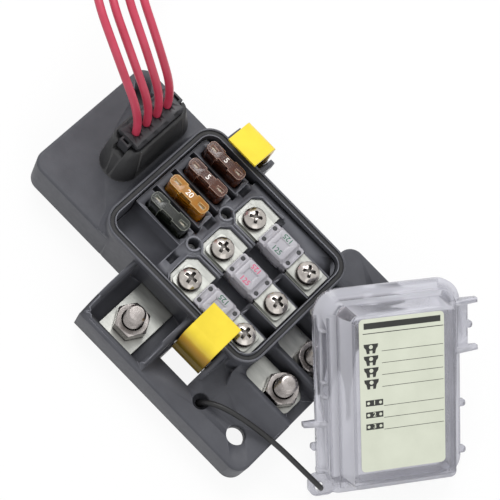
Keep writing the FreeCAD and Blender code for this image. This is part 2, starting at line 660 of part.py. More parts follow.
def rivet_places(y):
    mid = STRAP_PITCH / 2
    reach = STRAP_BODY_LENGTH / 2 - 1.5
    return [(mid + a * reach, y + b * 3.2) for a in (-1, 1) for b in (-1, 1)]


def make_strap_rivets():
    return Part.Compound([drum(px, py, STRAP_BODY_TOP - 1.4, STRAP_BODY_TOP - 0.1, RIVET_R)
                          for y in ROWS for px, py in rivet_places(y)])


def make_strap_screw(x, y):
    foot = SCREW_TOP - SCREW_HEAD_HEIGHT
    head = Part.makeCylinder(SCREW_HEAD_R, SCREW_HEAD_HEIGHT * 0.45, FreeCAD.Vector(x, y, foot))
    dome = SCREW_HEAD_HEIGHT * 0.55
    dome_r = (SCREW_HEAD_R ** 2 + dome ** 2) / (2 * dome)
    ball = Part.makeSphere(dome_r, FreeCAD.Vector(x, y, SCREW_TOP - dome_r))
    limit = Part.makeCylinder(SCREW_HEAD_R, SCREW_HEAD_HEIGHT, FreeCAD.Vector(x, y, foot + SCREW_HEAD_HEIGHT * 0.45))
    shank = drum(x, y, BAR_TOP + 2.5, foot + 0.1, SCREW_R - 0.05)
    turn = 35 if y > 0 else 8
    arms = []
    for angle in (turn, turn + 90):
        arm = box(-CROSS_REACH, CROSS_REACH, -CROSS_HALF, CROSS_HALF, SCREW_TOP - 1.8, SCREW_TOP + 1)
        arm.rotate(FreeCAD.Vector(0, 0, 0), FreeCAD.Vector(0, 0, 1), angle)
        arm.translate(FreeCAD.Vector(x, y, 0))
        arms.append(arm)
    return without(joined([head, ball.common(limit), shank]), arms)


def make_strap_screws(x):
    return Part.Compound([make_strap_screw(x, y) for y in ROWS])


def ring_at(x, y, z0, z1, outer, inner):
    return drum(x, y, z0, z1, outer).cut(drum(x, y, z0 - 1, z1 + 1, inner))


def make_strap_washers(x):
    low = STRAP_TOP
    high = STRAP_TOP + WASHERS
    mid = low + (high - low) * 0.45
    rings = []
    for y in ROWS:
        flat = ring_at(x, y, low, mid, WASHER_R, STRAP_HOLE_R)
        spring = ring_at(x, y, mid, high, WASHER_R - 0.7, STRAP_HOLE_R)
        rings.append(joined([flat, spring]))
    return Part.Compound(rings)


def make_stud(x, y, top):
    head = hexagon(x, y, 0.6, STUD_FOOT, NUT_FLATS)
    shank = drum(x, y, STUD_FOOT, top - STUD_CHAMFER, STUD_R)
    tip = Part.makeCone(STUD_R, STUD_R - STUD_CHAMFER, STUD_CHAMFER, FreeCAD.Vector(x, y, top - STUD_CHAMFER))
    return joined([head, shank, tip])


def make_nut(x, y, turn, base):
    solid = hexagon(x, y, base, base + NUT_HEIGHT, NUT_FLATS, turn)
    cone_r = NUT_FLATS / math.sqrt(3)
    cone = Part.makeCone(cone_r + 5.0, cone_r - 1.0, 6.0, FreeCAD.Vector(x, y, base + NUT_HEIGHT - 6.0))
    low = Part.makeCylinder(cone_r + 1, NUT_HEIGHT, FreeCAD.Vector(x, y, base))
    cap = low.common(cone)
    body = solid.common(cap) if cap.Volume > 1 else solid
    return body.cut(drum(x, y, base - 1, base + NUT_HEIGHT + 1, STUD_R + 0.03))


LOCK_THICK = 1.9


def make_output_nuts():
    return Part.Compound([make_nut(OUTPUT_X, y, 20 + 17 * i, BAR_TOP) for i, y in enumerate(ROWS)])


# Blade fuses

def blade_outline(grow, z0, z1, y):
    x0 = BLADE_X - BLADE_LENGTH / 2 - grow
    x1 = BLADE_X + BLADE_LENGTH / 2 + grow
    half = BLADE_WIDTH / 2 + grow
    return slab(x0, x1, y - half, y + half, z0, z1, 2.0)


def make_blade_body(y):
    body = blade_outline(0, BLADE_BOTTOM, BLADE_TOP, y)
    waist = [box(BLADE_X - 3.6, BLADE_X + 3.6, y + 1.75, y + 4, BLADE_BOTTOM - 1, BLADE_TOP - 1.8),
             box(BLADE_X - 3.6, BLADE_X + 3.6, y - 4, y - 1.75, BLADE_BOTTOM - 1, BLADE_TOP - 1.8),
             box(BLADE_X - 2.8, BLADE_X + 2.8, y + 1.9, y + 4, BLADE_TOP - 2.0, BLADE_TOP + 1),
             box(BLADE_X - 2.8, BLADE_X + 2.8, y - 4, y - 1.9, BLADE_TOP - 2.0, BLADE_TOP + 1)]
    inner = element_shape(y, 0.05)
    ports = [box(BLADE_X + s * BLADE_HALF - 1.7, BLADE_X + s * BLADE_HALF + 1.7, y - 0.7, y + 0.7,
                 BLADE_TOP - 1.0, BLADE_TOP + 1) for s in (-1, 1)]
    return without(body, waist + [inner] + ports)


def element_shape(y, grow):
    t = BLADE_METAL / 2 + grow
    w = BLADE_METAL_WIDTH / 2 + grow
    low = BLADE_BOTTOM - BLADE_METAL_REACH
    pieces = []
    for s in (-1, 1):
        x = BLADE_X + s * BLADE_HALF
        pieces.append(box(x - w, x + w, y - t, y + t, low, BLADE_TOP - 3.6 + grow))
        pieces.append(box(x - 1.2 - grow, x + 1.2 + grow, y - t, y + t, low + 2, BLADE_TOP - 1.0))
    pieces.append(box(BLADE_X - BLADE_HALF, BLADE_X + BLADE_HALF, y - t, y + t, BLADE_TOP - 7.4 - grow,
                      BLADE_TOP - 5.6 + grow))
    return joined(pieces)


# Latches and their pins

def latch_outline(pin_y, side):
    rise = math.radians(LATCH_RISE)
    t = LATCH_THICK
    tip_y = pin_y - side * LATCH_ARM * math.cos(rise)
    tip_z = LATCH_BEND_Z + LATCH_ARM * math.sin(rise)
    v = FreeCAD.Vector
    out = side * t / 2
    outer_bend = v(0, pin_y + out, LATCH_BEND_Z - 3.0)
    points = {
        "foot_out": v(0, pin_y + out, LATCH_PIN_Z),
        "knee_out": outer_bend,
        "bend_mid": v(0, pin_y - side * 0.2, LATCH_BEND_Z + 0.5),
        "arm_out": v(0, pin_y - side * 3.2, LATCH_BEND_Z + 3.2 * math.tan(rise) + 0.8),
        "tip_out": v(0, tip_y, tip_z + 0.4),
        "tip_in": v(0, tip_y + side * 0.6, tip_z - t + 0.2),
        "arm_in": v(0, pin_y - side * 3.6, LATCH_BEND_Z - t + 3.4 * math.tan(rise) + 0.5),
        "knee_mid": v(0, pin_y - side * 1.9, LATCH_BEND_Z - t - 0.1),
        "knee_in": v(0, pin_y - out, LATCH_BEND_Z - 4.6),
        "foot_in": v(0, pin_y - out, LATCH_PIN_Z),
    }
    return points


def make_latch(index):
    x, pin_y, side = latch_place(index)
    p = latch_outline(pin_y, side)
    edges = [
        Part.LineSegment(p["foot_out"], p["knee_out"]).toShape(),
        Part.Arc(p["knee_out"], p["bend_mid"], p["arm_out"]).toShape(),
        Part.LineSegment(p["arm_out"], p["tip_out"]).toShape(),
        Part.LineSegment(p["tip_out"], p["tip_in"]).toShape(),
        Part.LineSegment(p["tip_in"], p["arm_in"]).toShape(),
        Part.Arc(p["arm_in"], p["knee_mid"], p["knee_in"]).toShape(),
        Part.LineSegment(p["knee_in"], p["foot_in"]).toShape(),
        Part.LineSegment(p["foot_in"], p["foot_out"]).toShape(),
    ]
    face = Part.Face(Part.Wire(edges))
    face.translate(FreeCAD.Vector(x - LATCH_WIDTH / 2, 0, 0))
    strap = face.extrude(FreeCAD.Vector(LATCH_WIDTH, 0, 0))
    barrel = drum_x(x - LATCH_WIDTH / 2, x + LATCH_WIDTH / 2, pin_y, LATCH_PIN_Z, LATCH_BARREL_R)
    bore = drum_x(x - LATCH_WIDTH, x + LATCH_WIDTH, pin_y, LATCH_PIN_Z, LATCH_PIN_R + LATCH_PIN_PLAY)
    return without(joined([strap, barrel]), [bore])


def make_latch_pin(index):
    x, pin_y, side = latch_place(index)
    reach = LATCH_WIDTH / 2 + EAR_GAP + EAR_THICK
    return drum_x(x - reach, x + reach, pin_y, LATCH_PIN_Z, LATCH_PIN_R)


# Connector

def make_plug():
    hx = PLUG_SIZE[0] / 2
    hy = PLUG_SIZE[1] / 2
    body = slab(PLUG_X - hx, PLUG_X + hx, PLUG_Y - hy, PLUG_Y + hy, PLUG_BOTTOM, PLUG_TOP - 1.8, 0.8)
    head = slab(PLUG_X - hx - 0.9, PLUG_X + hx + 0.9, PLUG_Y - hy - 0.5, PLUG_Y + hy + 0.5, TOWER_TOP, PLUG_TOP, 1.0)
    loops = []
    for side in (-1, 1):
        y0 = PLUG_Y + side * (hy + 0.4)
        y1 = PLUG_Y + side * (hy + 3.0)
        outer = box(PLUG_X - 2.4, PLUG_X + 2.4, min(y0, y1), max(y0, y1), TOWER_TOP - 4.0, PLUG_TOP - 0.8)
        hollow = box(PLUG_X - 1.4, PLUG_X + 1.4, min(y0, y1) + 0.8, max(y0, y1) - 0.8, TOWER_TOP - 5, PLUG_TOP + 1)
        loops.append(outer.cut(hollow))
    shape = joined([body, head] + loops)
    cutters = []
    for i in range(4):
        y = PLUG_Y + (1.5 - i) * WIRE_PITCH
        cutters.append(drum(PLUG_X, y, PLUG_TOP - 3.0, PLUG_TOP + 1, WIRE_D / 2 + 0.2))
        cutters.append(box(PLUG_X - 0.95, PLUG_X + 0.95, y - 0.95, y + 0.95, PLUG_BOTTOM - 1, PLUG_BOTTOM + 6.2))
        cutters.append(box(PLUG_X + hx - 0.4, PLUG_X + hx + 2, y - 1.1, y + 1.1, PLUG_TOP - 1.4, PLUG_TOP + 1))
        cutters.append(box(PLUG_X - hx - 2, PLUG_X - hx + 0.4, y - 1.1, y + 1.1, PLUG_TOP - 1.4, PLUG_TOP + 1))
    return without(shape, cutters)


# Cover, built flat in its own axes and then laid back on the middle output stud

def lean_angle():
    heading = math.radians(COVER_HEADING)
    back = (-math.sin(heading), math.cos(heading))
    dx = OUTPUT_X - COVER_FOOT[0]
    dy = ROWS[1] - COVER_FOOT[1]
    run = dx * back[0] + dy * back[1] - (STUD_R - STUD_CHAMFER)
    return math.degrees(math.atan((OUT_STUD_TOP + REST_GAP * 1.15) / run))


def cover_place(shape):
    shape.rotate(FreeCAD.Vector(0, 0, 0), FreeCAD.Vector(1, 0, 0), lean_angle())
    shape.rotate(FreeCAD.Vector(0, 0, 0), FreeCAD.Vector(0, 0, 1), COVER_HEADING)
    shape.translate(FreeCAD.Vector(COVER_FOOT[0], COVER_FOOT[1], 0))
    return shape


def cover_dome(low_in, high_in, c0, c1):
    wires = []
    for (a, b), c in ((low_in, c0), (high_in, c1)):
        r = max(COVER_R - 0.45 * (a + b), 2.0)
        wires.append(rounded_wire(a, COVER_W - a, b, COVER_H - b, c, r))
    return Part.makeLoft(wires, True, True)


def make_cover():
    side, end = COVER_SIDE
    first = COVER_STEP
    top = (side + COVER_DRAFT, end + COVER_DRAFT * 0.7)
    outer = joined([
        slab(0, COVER_W, 0, COVER_H, 0, COVER_FLANGE, COVER_R),
        cover_dome((first - 0.6, first - 0.6), (first, first), 0, COVER_STEP_TOP),
        cover_dome((side, end), top, COVER_FLANGE, COVER_DEPTH),
    ] + cover_ears())
    skin = COVER_SKIN
    inner = cover_dome((first + skin - 0.8, first + skin - 0.8), (first + skin, first + skin), -1.0,
                       COVER_STEP_TOP - skin)
    crown = cover_dome((side + skin, end + skin), (top[0] + skin, top[1] + skin), -1.0, COVER_DEPTH - skin)
    tab_hole = drum(TAB[0], TAB[1], -1, COVER_FLANGE + 1, 1.9)
    return cover_place(without(outer, [inner, crown, tab_hole]))


def ear_plate(root, tip, b):
    thick = 1.9
    ring = [FreeCAD.Vector(root, b - thick / 2, 0), FreeCAD.Vector(tip, b - thick / 2, 0.6),
            FreeCAD.Vector(tip, b - thick / 2, 3.6), FreeCAD.Vector(root, b - thick / 2, 7.0)]
    face = Part.Face(Part.makePolygon(ring + ring[:1]))
    return face.extrude(FreeCAD.Vector(0, thick, 0))


TAB = (0.6, 3.6)


def cover_ears():
    right = [COVER_H - 10.2, COVER_H - 29.6]
    left = [10.6, 30.0]
    pieces = []
    for b in right:
        pieces.append(ear_plate(COVER_W - 5.0, COVER_W + 7.4, b))
    pieces.append(box(COVER_W - 1.0, COVER_W + 3.4, right[1], right[0], 1.2, 3.0))
    pieces.append(slab(COVER_W + 2.0, COVER_W + 5.4, sum(right) / 2 - 1.5, sum(right) / 2 + 1.5, 1.2, 3.0, 1.2))
    for b, reach in zip(left, (0.4, 5.6)):
        pieces.append(ear_plate(5.0, -reach, b))
    for b in (30.5, 11.0):
        pieces.append(slab(COVER_W - 1.0, COVER_W + 2.4, b - 1.5, b + 1.5, 0.4, 2.4, 1.2))
    pieces.append(slab(-2.4, 1.0, 20.3 - 1.5, 20.3 + 1.5, 0.4, 2.4, 1.2))
    for b in (COVER_H - 15.0, COVER_H - 36.0, 41.0):
        pieces.append(box(1.6, 6.0, b - 0.5, b + 0.5, 0, 7.0))
    pieces.append(slab(-3.8, 7.0, 0.0, 9.0, 0, COVER_FLANGE, 3.4))
    return pieces


LABEL = (12.0, 46.9, 13.6, 74.6)


def make_label():
    thick = 0.2
    sheet = slab(LABEL[0], LABEL[1], LABEL[2], LABEL[3], COVER_DEPTH, COVER_DEPTH + thick, 1.8)
    return cover_place(sheet)


# Cords: straight runs joined by tangent arcs

def tangent_path(points):
    v = [FreeCAD.Vector(*p) for p in points]
    edges = []
    start = v[0]
    for i in range(1, len(v) - 1):
        before = v[i - 1] - v[i]
        after = v[i + 1] - v[i]
        turn = math.pi - before.getAngle(after)
        shorter = min(before.Length, after.Length)
        radius = 0.45 * shorter / math.tan(turn / 2)
        trim = 0.45 * shorter
        a = v[i] + before.normalize() * trim
        b = v[i] + after.normalize() * trim
        bisector = (before + after).normalize()
        centre = v[i] + bisector * (radius / math.cos(turn / 2))
        middle = centre - bisector * radius
        edges.append(Part.LineSegment(start, a).toShape())
        edges.append(Part.Arc(a, middle, b).toShape())
        print("  radius", round(radius, 1), "turn", round(math.degrees(turn)))
        start = b
    edges.append(Part.LineSegment(start, v[-1]).toShape())
    return Part.Wire(edges)


def tube(points, diameter):
    path = tangent_path(points)
    first = FreeCAD.Vector(*points[0])
    along = (FreeCAD.Vector(*points[1]) - first).normalize()
    ring = Part.Wire([Part.makeCircle(diameter / 2, first, along)])
    solid = path.makePipeShell([ring], True, False, 1)
    wanted = math.pi * diameter ** 2 / 4 * path.Length
    print("  length", round(path.Length, 1), "volume share", round(solid.Volume / wanted, 3))
    return solid


# Route of one lead from the top of the connector, relative to its entry
LEAD_ROUTE = [(0, 0, 0), (0, 0, 14), (-14, 0, 36), (-36, 8, 45), (-51, 26, 33), (-54, 43, 9), (-55, 57, -16),
              (-56, 75, -36), (-59, 90, -36)]


def lead_points(index):
    y = PLUG_Y + (1.5 - index) * WIRE_PITCH
    spread = 1.0 + 0.08 * index
    lift = 1.2 * (index % 2)
    points = []
    for n, (dx, dy, dz) in enumerate(LEAD_ROUTE):
        up = WIRE_TOP - 3.0 + dz
        if n in (2, 3, 4, 5):
            up += lift
        if n >= 7:
            up = WIRE_D / 2 + 0.1
        points.append((PLUG_X + dx * spread, y + dy * spread, up))
    return points


def make_lead(index):
    return tube(lead_points(index), WIRE_D)


def cover_point(a, b, c):
    corner = Part.Vertex(a, b, c)
    cover_place(corner)
    return corner.Point


def tether_points():
    end = cover_point(TAB[0], TAB[1], COVER_FLANGE - 0.2)
    lift = cover_point(TAB[0], TAB[1], COVER_FLANGE + 5.0)
    return [
        (ANCHOR[0], ANCHOR[1], FLANGE_TOP - 4.5),
        (ANCHOR[0] + 0.6, ANCHOR[1] + 0.2, FLANGE_TOP + 1.6),
        (ANCHOR[0] + 8.0, ANCHOR[1] + 3.4, FLANGE_TOP + 4.6),
        (ANCHOR[0] + 20.0, ANCHOR[1] + 6.8, FLANGE_TOP + 3.6),
        (ANCHOR[0] + 33.0, ANCHOR[1] + 9.0, FLANGE_TOP + 2.2),
        (ANCHOR[0] + 44.0, ANCHOR[1] + 10.6, FLANGE_TOP - 1.6),
        (lift.x, lift.y, lift.z),
        (end.x, end.y, end.z),
    ]


def make_all():
    os.makedirs("parts", exist_ok=True)
    save("base", make_base())
    save("fuse_deck", make_deck())
    save("rim_gasket", make_gasket())
    save("deck_screws", make_deck_screws())
    save("feed_busbar", make_feed_bar())
    save("blade_bus", make_blade_bus())
    save("feed_stud", make_stud(FEED_STUD[0], FEED_STUD[1], FEED_STUD_TOP))
    save("feed_nut", make_nut(FEED_STUD[0], FEED_STUD[1], 0, BAR_TOP))
    save("feed_pillars", make_pillars(0.0))
    save("output_pillars", make_pillars(STRAP_PITCH))
    save("feed_terminals", Part.Compound([make_feed_terminal(y) for y in ROWS]))
    save("output_terminals", Part.Compound([make_output_terminal(y) for y in ROWS]))
    save("strap_screws_feed", make_strap_screws(0.0))
    save("strap_screws_output", make_strap_screws(STRAP_PITCH))
    save("strap_washers_feed", make_strap_washers(0.0))
    save("strap_washers_output", make_strap_washers(STRAP_PITCH))
    save("strap_rivets", make_strap_rivets())
    save("output_nuts", make_output_nuts())
    for i, y in enumerate(ROWS):
        n = str(i + 1)
        save("strap_fuse_" + n, make_strap_element(y))
        save("strap_fuse_body_" + n, make_strap_body(y))
        save("output_bar_" + n, output_bar_shape(y, 0.0).cut(drum(OUTPUT_X, y, 0, RIM_TOP, STUD_R + PLAY)))
        save("output_stud_" + n, make_stud(OUTPUT_X, y, OUT_STUD_TOP))
    for i, y in enumerate(BLADES):
        n = str(i + 1)
        save("blade_fuse_body_" + n, make_blade_body(y))
        save("blade_fuse_element_" + n, element_shape(y, 0.0))
        save("circuit_strip_" + n, make_strip(i))
        save("lead_" + n, make_lead(i))
    for i in (0, 1):
        n = str(i + 1)
        save("latch_" + n, make_latch(i))
        save("latch_pin_" + n, make_latch_pin(i))
    save("connector_housing", make_plug())
    save("cover", make_cover())
    save("cover_label", make_label())
    save("tether", tube(tether_points(), TETHER_D))


make_all()
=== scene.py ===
import math

import bmesh
import bpy
import numpy as np
from mathutils import Matrix, Vector


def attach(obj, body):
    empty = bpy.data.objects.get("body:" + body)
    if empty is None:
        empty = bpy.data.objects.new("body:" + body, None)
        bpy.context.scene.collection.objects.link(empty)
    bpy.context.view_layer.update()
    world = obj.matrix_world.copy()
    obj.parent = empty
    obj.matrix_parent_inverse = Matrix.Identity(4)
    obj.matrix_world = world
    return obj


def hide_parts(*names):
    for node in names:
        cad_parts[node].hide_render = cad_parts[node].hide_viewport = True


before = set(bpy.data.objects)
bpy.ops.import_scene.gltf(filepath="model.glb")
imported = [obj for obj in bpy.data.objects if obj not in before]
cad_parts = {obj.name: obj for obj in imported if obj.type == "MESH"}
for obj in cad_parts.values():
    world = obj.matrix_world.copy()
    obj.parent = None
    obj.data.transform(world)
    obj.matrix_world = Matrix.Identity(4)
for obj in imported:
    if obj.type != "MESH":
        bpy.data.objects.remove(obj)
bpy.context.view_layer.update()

bl_info = {
    "name": "Blade fuse block",
    "version": (1, 0, 0),
    "blender": (4, 2, 0),
    "location": "View3D > Sidebar > Fuse block",
    "description": "Moulded fuse block with blade fuses, strap fuses, studs and a clear cover",
    "category": "Object",
}

MM = 0.001


# Sizes that repeat those of the source, in millimetres

ROWS = (18.65, 0.0, -18.65)
STRAP_PITCH = 30.0
STRAP_CROWN = 30.2
BLADE_X = -24.0
BLADE_FIRST_Y = 24.9
BLADE_PITCH = 10.6
BLADE_TOP = 34.4
OUTPUT_X = 55.5
OUT_STUD_TOP = 26.7
FEED_STUD = (-4.3, -43.3)
FEED_STUD_TOP = 27.0
STUD_R = 4.0
STUD_CHAMFER = 1.0
STUD_FOOT = 5.6
BAR_TOP = 12.0
NUT_FLATS = 12.7
NUT_HEIGHT = 6.2
PLATE_TOP = 18.7
FLANGE_TOP = 14.6
PLUG = (-55.0, 11.7)
PLUG_TOP = 41.2
WIRE_PITCH = 5.8
ANCHOR = (36.7, -45.4)
COVER_FOOT = (94.6, -33.0)
COVER_HEADING = math.radians(54.4)
COVER_CLEAR = 0.345             # straight up, over the middle output stud
COVER_DEPTH = 19.6
COVER_FLANGE = 2.6
COVER_TAB = (0.6, 3.6)
LABEL_THICK = 0.2


def cover_matrix():
    """Turns the cover's own axes (across, along, out) into the frame: lean back about the foot,
    then turn about Z. The lean is the angle whose tangent is the height of the middle output
    stud, with COVER_CLEAR over it, by the run from the foot to the near edge of the stud's end."""
    back = (-math.sin(COVER_HEADING), math.cos(COVER_HEADING))
    ahead = (OUTPUT_X - COVER_FOOT[0]) * back[0] + (ROWS[1] - COVER_FOOT[1]) * back[1]
    run = ahead - (STUD_R - STUD_CHAMFER)
    lean = math.atan((OUT_STUD_TOP + COVER_CLEAR) / run)
    turn = Matrix.Rotation(COVER_HEADING, 4, "Z") @ Matrix.Rotation(lean, 4, "X")
    return Matrix.Translation((*COVER_FOOT, 0.0)) @ turn


def cover_point(a, b, c):
    """A point given in the cover's own axes, in millimetres of the frame."""
    return tuple(cover_matrix() @ Vector((a, b, c)))


# Colour and node helpers. Sizes are in millimetres.

PATCH_ROUGHNESS = 0.55
RAMP_ENDS = (0.3, 0.7)          # the noise seldom leaves this range
GRAIN_DETAIL = 2.0
GRAIN_STRENGTH = 0.6
BEVEL_SAMPLES = 4
SHADE_SAMPLES = 6
EDGE_COSINES = (0.985, 0.88)    # of the turn of the normal where an edge begins and is full

FLOW_PATCH = 9.0                # tone of a moulding
SHEEN_PATCH = 1.6               # gloss of a moulding
SHEEN_DETAIL = 4.0
SHEEN_DRIFT = 0.08
# Painted highlight along edges: its width, and how clear clear plastic stays under it
EDGE_HIGHLIGHT_WIDTH = 0.5
EDGE_CLARITY = 0.5              # how clear an edge is, as a share of the rest
# Painted shade in recesses of mouldings: how near a wall has to be, and the range of open sky over
# which it fades
PAINTED_SHADE_REACH = 5.0
PAINTED_SHADE_RANGE = (0.15, 0.65)

METAL_PATCH = 4.0
METAL_DETAIL = 4.0
METAL_DRIFT = (-0.1, 0.12)
METAL_GRAIN = 0.35
METAL_DEPTH = 0.01
METAL_EDGE = 0.2
# Tone of the painted shade in recesses of metal
METAL_SHADE_TONE = "#1c1a19"


def srgb(code):
    """Linear colour of an sRGB hex value such as #a0b0c0, by the standard's own curve."""
    parts = np.array([int(code[i:i + 2], 16) for i in (1, 3, 5)]) / 255.0
    linear = np.where(parts <= 0.04045, parts / 12.92, ((parts + 0.055) / 1.055) ** 2.4)
    return [*map(float, linear), 1.0]


def add_node(tree, kind, inputs=None, **settings):
    """Adds one node. Each input is a value, or a socket to link from."""
    node = tree.nodes.new(kind)
    for name, value in settings.items():
        setattr(node, name, value)
    for name, value in (inputs or {}).items():
        if isinstance(value, bpy.types.NodeSocket):
            tree.links.new(value, node.inputs[name])
        else:
            node.inputs[name].default_value = value
    return node


def blank_material(name):
    """A material with a Principled shader and Object coordinates, ready for its pattern."""
    made = bpy.data.materials.new(name)
    made.use_nodes = True
    tree = made.node_tree
    tree.nodes.clear()
    out = add_node(tree, "ShaderNodeOutputMaterial")
    shader = add_node(tree, "ShaderNodeBsdfPrincipled")
    tree.links.new(shader.outputs[0], out.inputs["Surface"])
    place = add_node(tree, "ShaderNodeTexCoord")
    return made, tree, shader, place.outputs["Object"]


def set_inputs(shader, **values):
    """Sets constant values on the shader's own sockets, with underscores for spaces."""
    for name, value in values.items():
        shader.inputs[name.replace("_", " ")].default_value = value


def per_metre(size_mm):
    """Texture scale for a feature of that size: how many of it fill a metre."""
    return 1000.0 / size_mm


def mottle(tree, place, size_mm, dark, light, detail=3.0, stretch=(1, 1, 1)):
    """Noise that drifts between two colours over patches of size_mm, and the noise itself."""
    grown = add_node(tree, "ShaderNodeMapping", {"Vector": place, "Scale": stretch})
    noise = add_node(tree, "ShaderNodeTexNoise", {
        "Vector": grown.outputs[0], "Scale": per_metre(size_mm), "Detail": detail,
        "Roughness": PATCH_ROUGHNESS})
    ramp = add_node(tree, "ShaderNodeValToRGB", {"Fac": noise.outputs["Fac"]})
    first, last = ramp.color_ramp.elements
    first.position, last.position = RAMP_ENDS
    first.color, last.color = dark, light
    return ramp.outputs["Color"], noise.outputs["Fac"]


def grain_bump(tree, place, size_mm, depth_mm, edge_mm=0.0, stretch=(1, 1, 1)):
    """Bump of that grain size and depth, over an edge that looks rounded by edge_mm. Real grain
    is too fine to show in the picture, so it is drawn several times as coarse."""
    grown = add_node(tree, "ShaderNodeMapping", {"Vector": place, "Scale": stretch})
    noise = add_node(tree, "ShaderNodeTexNoise", {
        "Vector": grown.outputs[0], "Scale": per_metre(size_mm), "Detail": GRAIN_DETAIL})
    bump = add_node(tree, "ShaderNodeBump", {
        "Height": noise.outputs["Fac"], "Distance": depth_mm * MM, "Strength": GRAIN_STRENGTH})
    if edge_mm > 0:
        edge = add_node(tree, "ShaderNodeBevel", {"Radius": edge_mm * MM}, samples=BEVEL_SAMPLES)
        tree.links.new(edge.outputs[0], bump.inputs["Normal"])
    return bump.outputs[0]


def edge_share(tree, width_mm, facing="Normal"):
    """One along sharp edges and zero on flats: how far the normal turns when edges are rounded
    by width_mm. With the facing of True Normal the small faces of a rounding count as its edge
    too."""
    soft = add_node(tree, "ShaderNodeBevel", {"Radius": width_mm * MM}, samples=BEVEL_SAMPLES)
    plain = add_node(tree, "ShaderNodeNewGeometry")
    same = add_node(tree, "ShaderNodeVectorMath", {0: soft.outputs[0], 1: plain.outputs[facing]},
                    operation="DOT_PRODUCT")
    share = add_node(tree, "ShaderNodeMapRange", {
        "Value": same.outputs["Value"], "From Min": EDGE_COSINES[0],
        "From Max": EDGE_COSINES[1]})
    return share.outputs["Result"]


def painted_shade_mask(tree, reach_mm, low, high):
    """Mask for painted shade, zero in narrow recesses and one in the open, from the shade that
    reaches a point within reach_mm. low and high are the shares of open sky where it begins and
    ends."""
    shade = add_node(tree, "ShaderNodeAmbientOcclusion", {"Distance": reach_mm * MM},
                     samples=SHADE_SAMPLES)
    share = add_node(tree, "ShaderNodeMapRange", {
        "Value": shade.outputs["AO"], "From Min": low, "From Max": high})
    return share.outputs["Result"]


def moulded_plastic(name, dark, light, rough, grain=0.5, depth=0.03, edge=0.35, rim=None,
                    painted_shade=None, ior=1.53, **sockets):
    """Injection moulded plastic: slow drift of tone from the flow, fine spark-eroded grain and
    rounded edges. rim is the tone of a painted highlight along edges, where clear plastic is
    made less clear too, and painted_shade that of painted shade in recesses."""
    made, tree, shader, place = blank_material(name)
    colour, _ = mottle(tree, place, FLOW_PATCH, srgb(dark), srgb(light))
    # Painted shade: recesses are darkened toward their own tone by ambient occlusion
    if painted_shade:
        share = painted_shade_mask(tree, PAINTED_SHADE_REACH, *PAINTED_SHADE_RANGE)
        toned = add_node(tree, "ShaderNodeMix", {0: share, 6: srgb(painted_shade), 7: colour},
                         data_type="RGBA")
        colour = toned.outputs[2]
    # Painted highlight: edges are lightened toward the rim tone, and clear plastic is made less
    # clear there
    if rim:
        clear = sockets.pop("Transmission_Weight", None)
        share = edge_share(tree, EDGE_HIGHLIGHT_WIDTH, "Normal" if clear is None else "True Normal")
        toned = add_node(tree, "ShaderNodeMix", {0: share, 6: colour, 7: srgb(rim)},
                         data_type="RGBA")
        colour = toned.outputs[2]
        if clear is not None:
            weight = add_node(tree, "ShaderNodeMapRange", {
                "Value": share, "To Min": clear, "To Max": clear * EDGE_CLARITY})
            tree.links.new(weight.outputs["Result"], shader.inputs["Transmission Weight"])
    tree.links.new(colour, shader.inputs["Base Color"])
    sheen = add_node(tree, "ShaderNodeTexNoise", {
        "Vector": place, "Scale": per_metre(SHEEN_PATCH), "Detail": SHEEN_DETAIL})
    gloss = add_node(tree, "ShaderNodeMapRange", {
        "Value": sheen.outputs["Fac"], "To Min": rough - SHEEN_DRIFT,
        "To Max": rough + SHEEN_DRIFT})
    tree.links.new(gloss.outputs["Result"], shader.inputs["Roughness"])
    tree.links.new(grain_bump(tree, place, grain, depth, edge), shader.inputs["Normal"])
    set_inputs(shader, IOR=ior, **sockets)
    return made


def worked_metal(name, dark, light, rough, stretch=(1, 1, 1), recess=1.2, shade=(0.2, 0.85)):
    """Metal with the marks of its making: patches that stretch draws out along the way it was
    rolled or turned, and painted shade that darkens recesses narrower than recess. shade is the
    range of open sky over which the painted shade fades out."""
    made, tree, shader, place = blank_material(name)
    colour, patches = mottle(tree, place, METAL_PATCH, srgb(dark), srgb(light), METAL_DETAIL,
                             stretch)
    # Painted shade: recesses are darkened toward a dark tone by ambient occlusion
    share = painted_shade_mask(tree, recess, *shade)
    with_painted_shade = add_node(tree, "ShaderNodeMix", {0: share, 6: srgb(METAL_SHADE_TONE), 7: colour},
                      data_type="RGBA")
    tree.links.new(with_painted_shade.outputs[2], shader.inputs["Base Color"])
    gloss = add_node(tree, "ShaderNodeMapRange", {
        "Value": patches, "To Min": rough + METAL_DRIFT[0], "To Max": rough + METAL_DRIFT[1]})
    tree.links.new(gloss.outputs["Result"], shader.inputs["Roughness"])
    bump = grain_bump(tree, place, METAL_GRAIN, METAL_DEPTH, METAL_EDGE, stretch)
    tree.links.new(bump, shader.inputs["Normal"])
    set_inputs(shader, Metallic=1.0)
    return made


# Mesh helpers. Sizes are in millimetres and angles of smoothing in degrees.

SMOOTH_ANGLE = 40.0
NUT_ANGLE = 25.0
COPY_ANGLE = 30.0
BASE_ANGLE = 50.0
FLAT_WEIGHT = 80
MERGE_REACH = 2e-6              # metres

SIDES = 72
ANGLES = np.linspace(0, 2 * math.pi, SIDES, endpoint=False)
AXIS_R = 0.001                  # so small that the end of a stud is closed
HEAD_FOOT = 0.6
CORNER_RUN = 1.1
CORNER_ROWS = 5
CORNER_INSET = 0.15
CORNER_SLOPE = math.tan(math.radians(30))
THREAD_PITCH = 1.25
THREAD_DEPTH = 0.75
THREAD_POWER = 1.2
THREAD_STEP = THREAD_PITCH / 10
THREAD_CHAMFER = 1.1
END_R = 2.2
BORE_PLAY = 0.02
SINK_LOW, SINK_HIGH = 0.4, 0.5


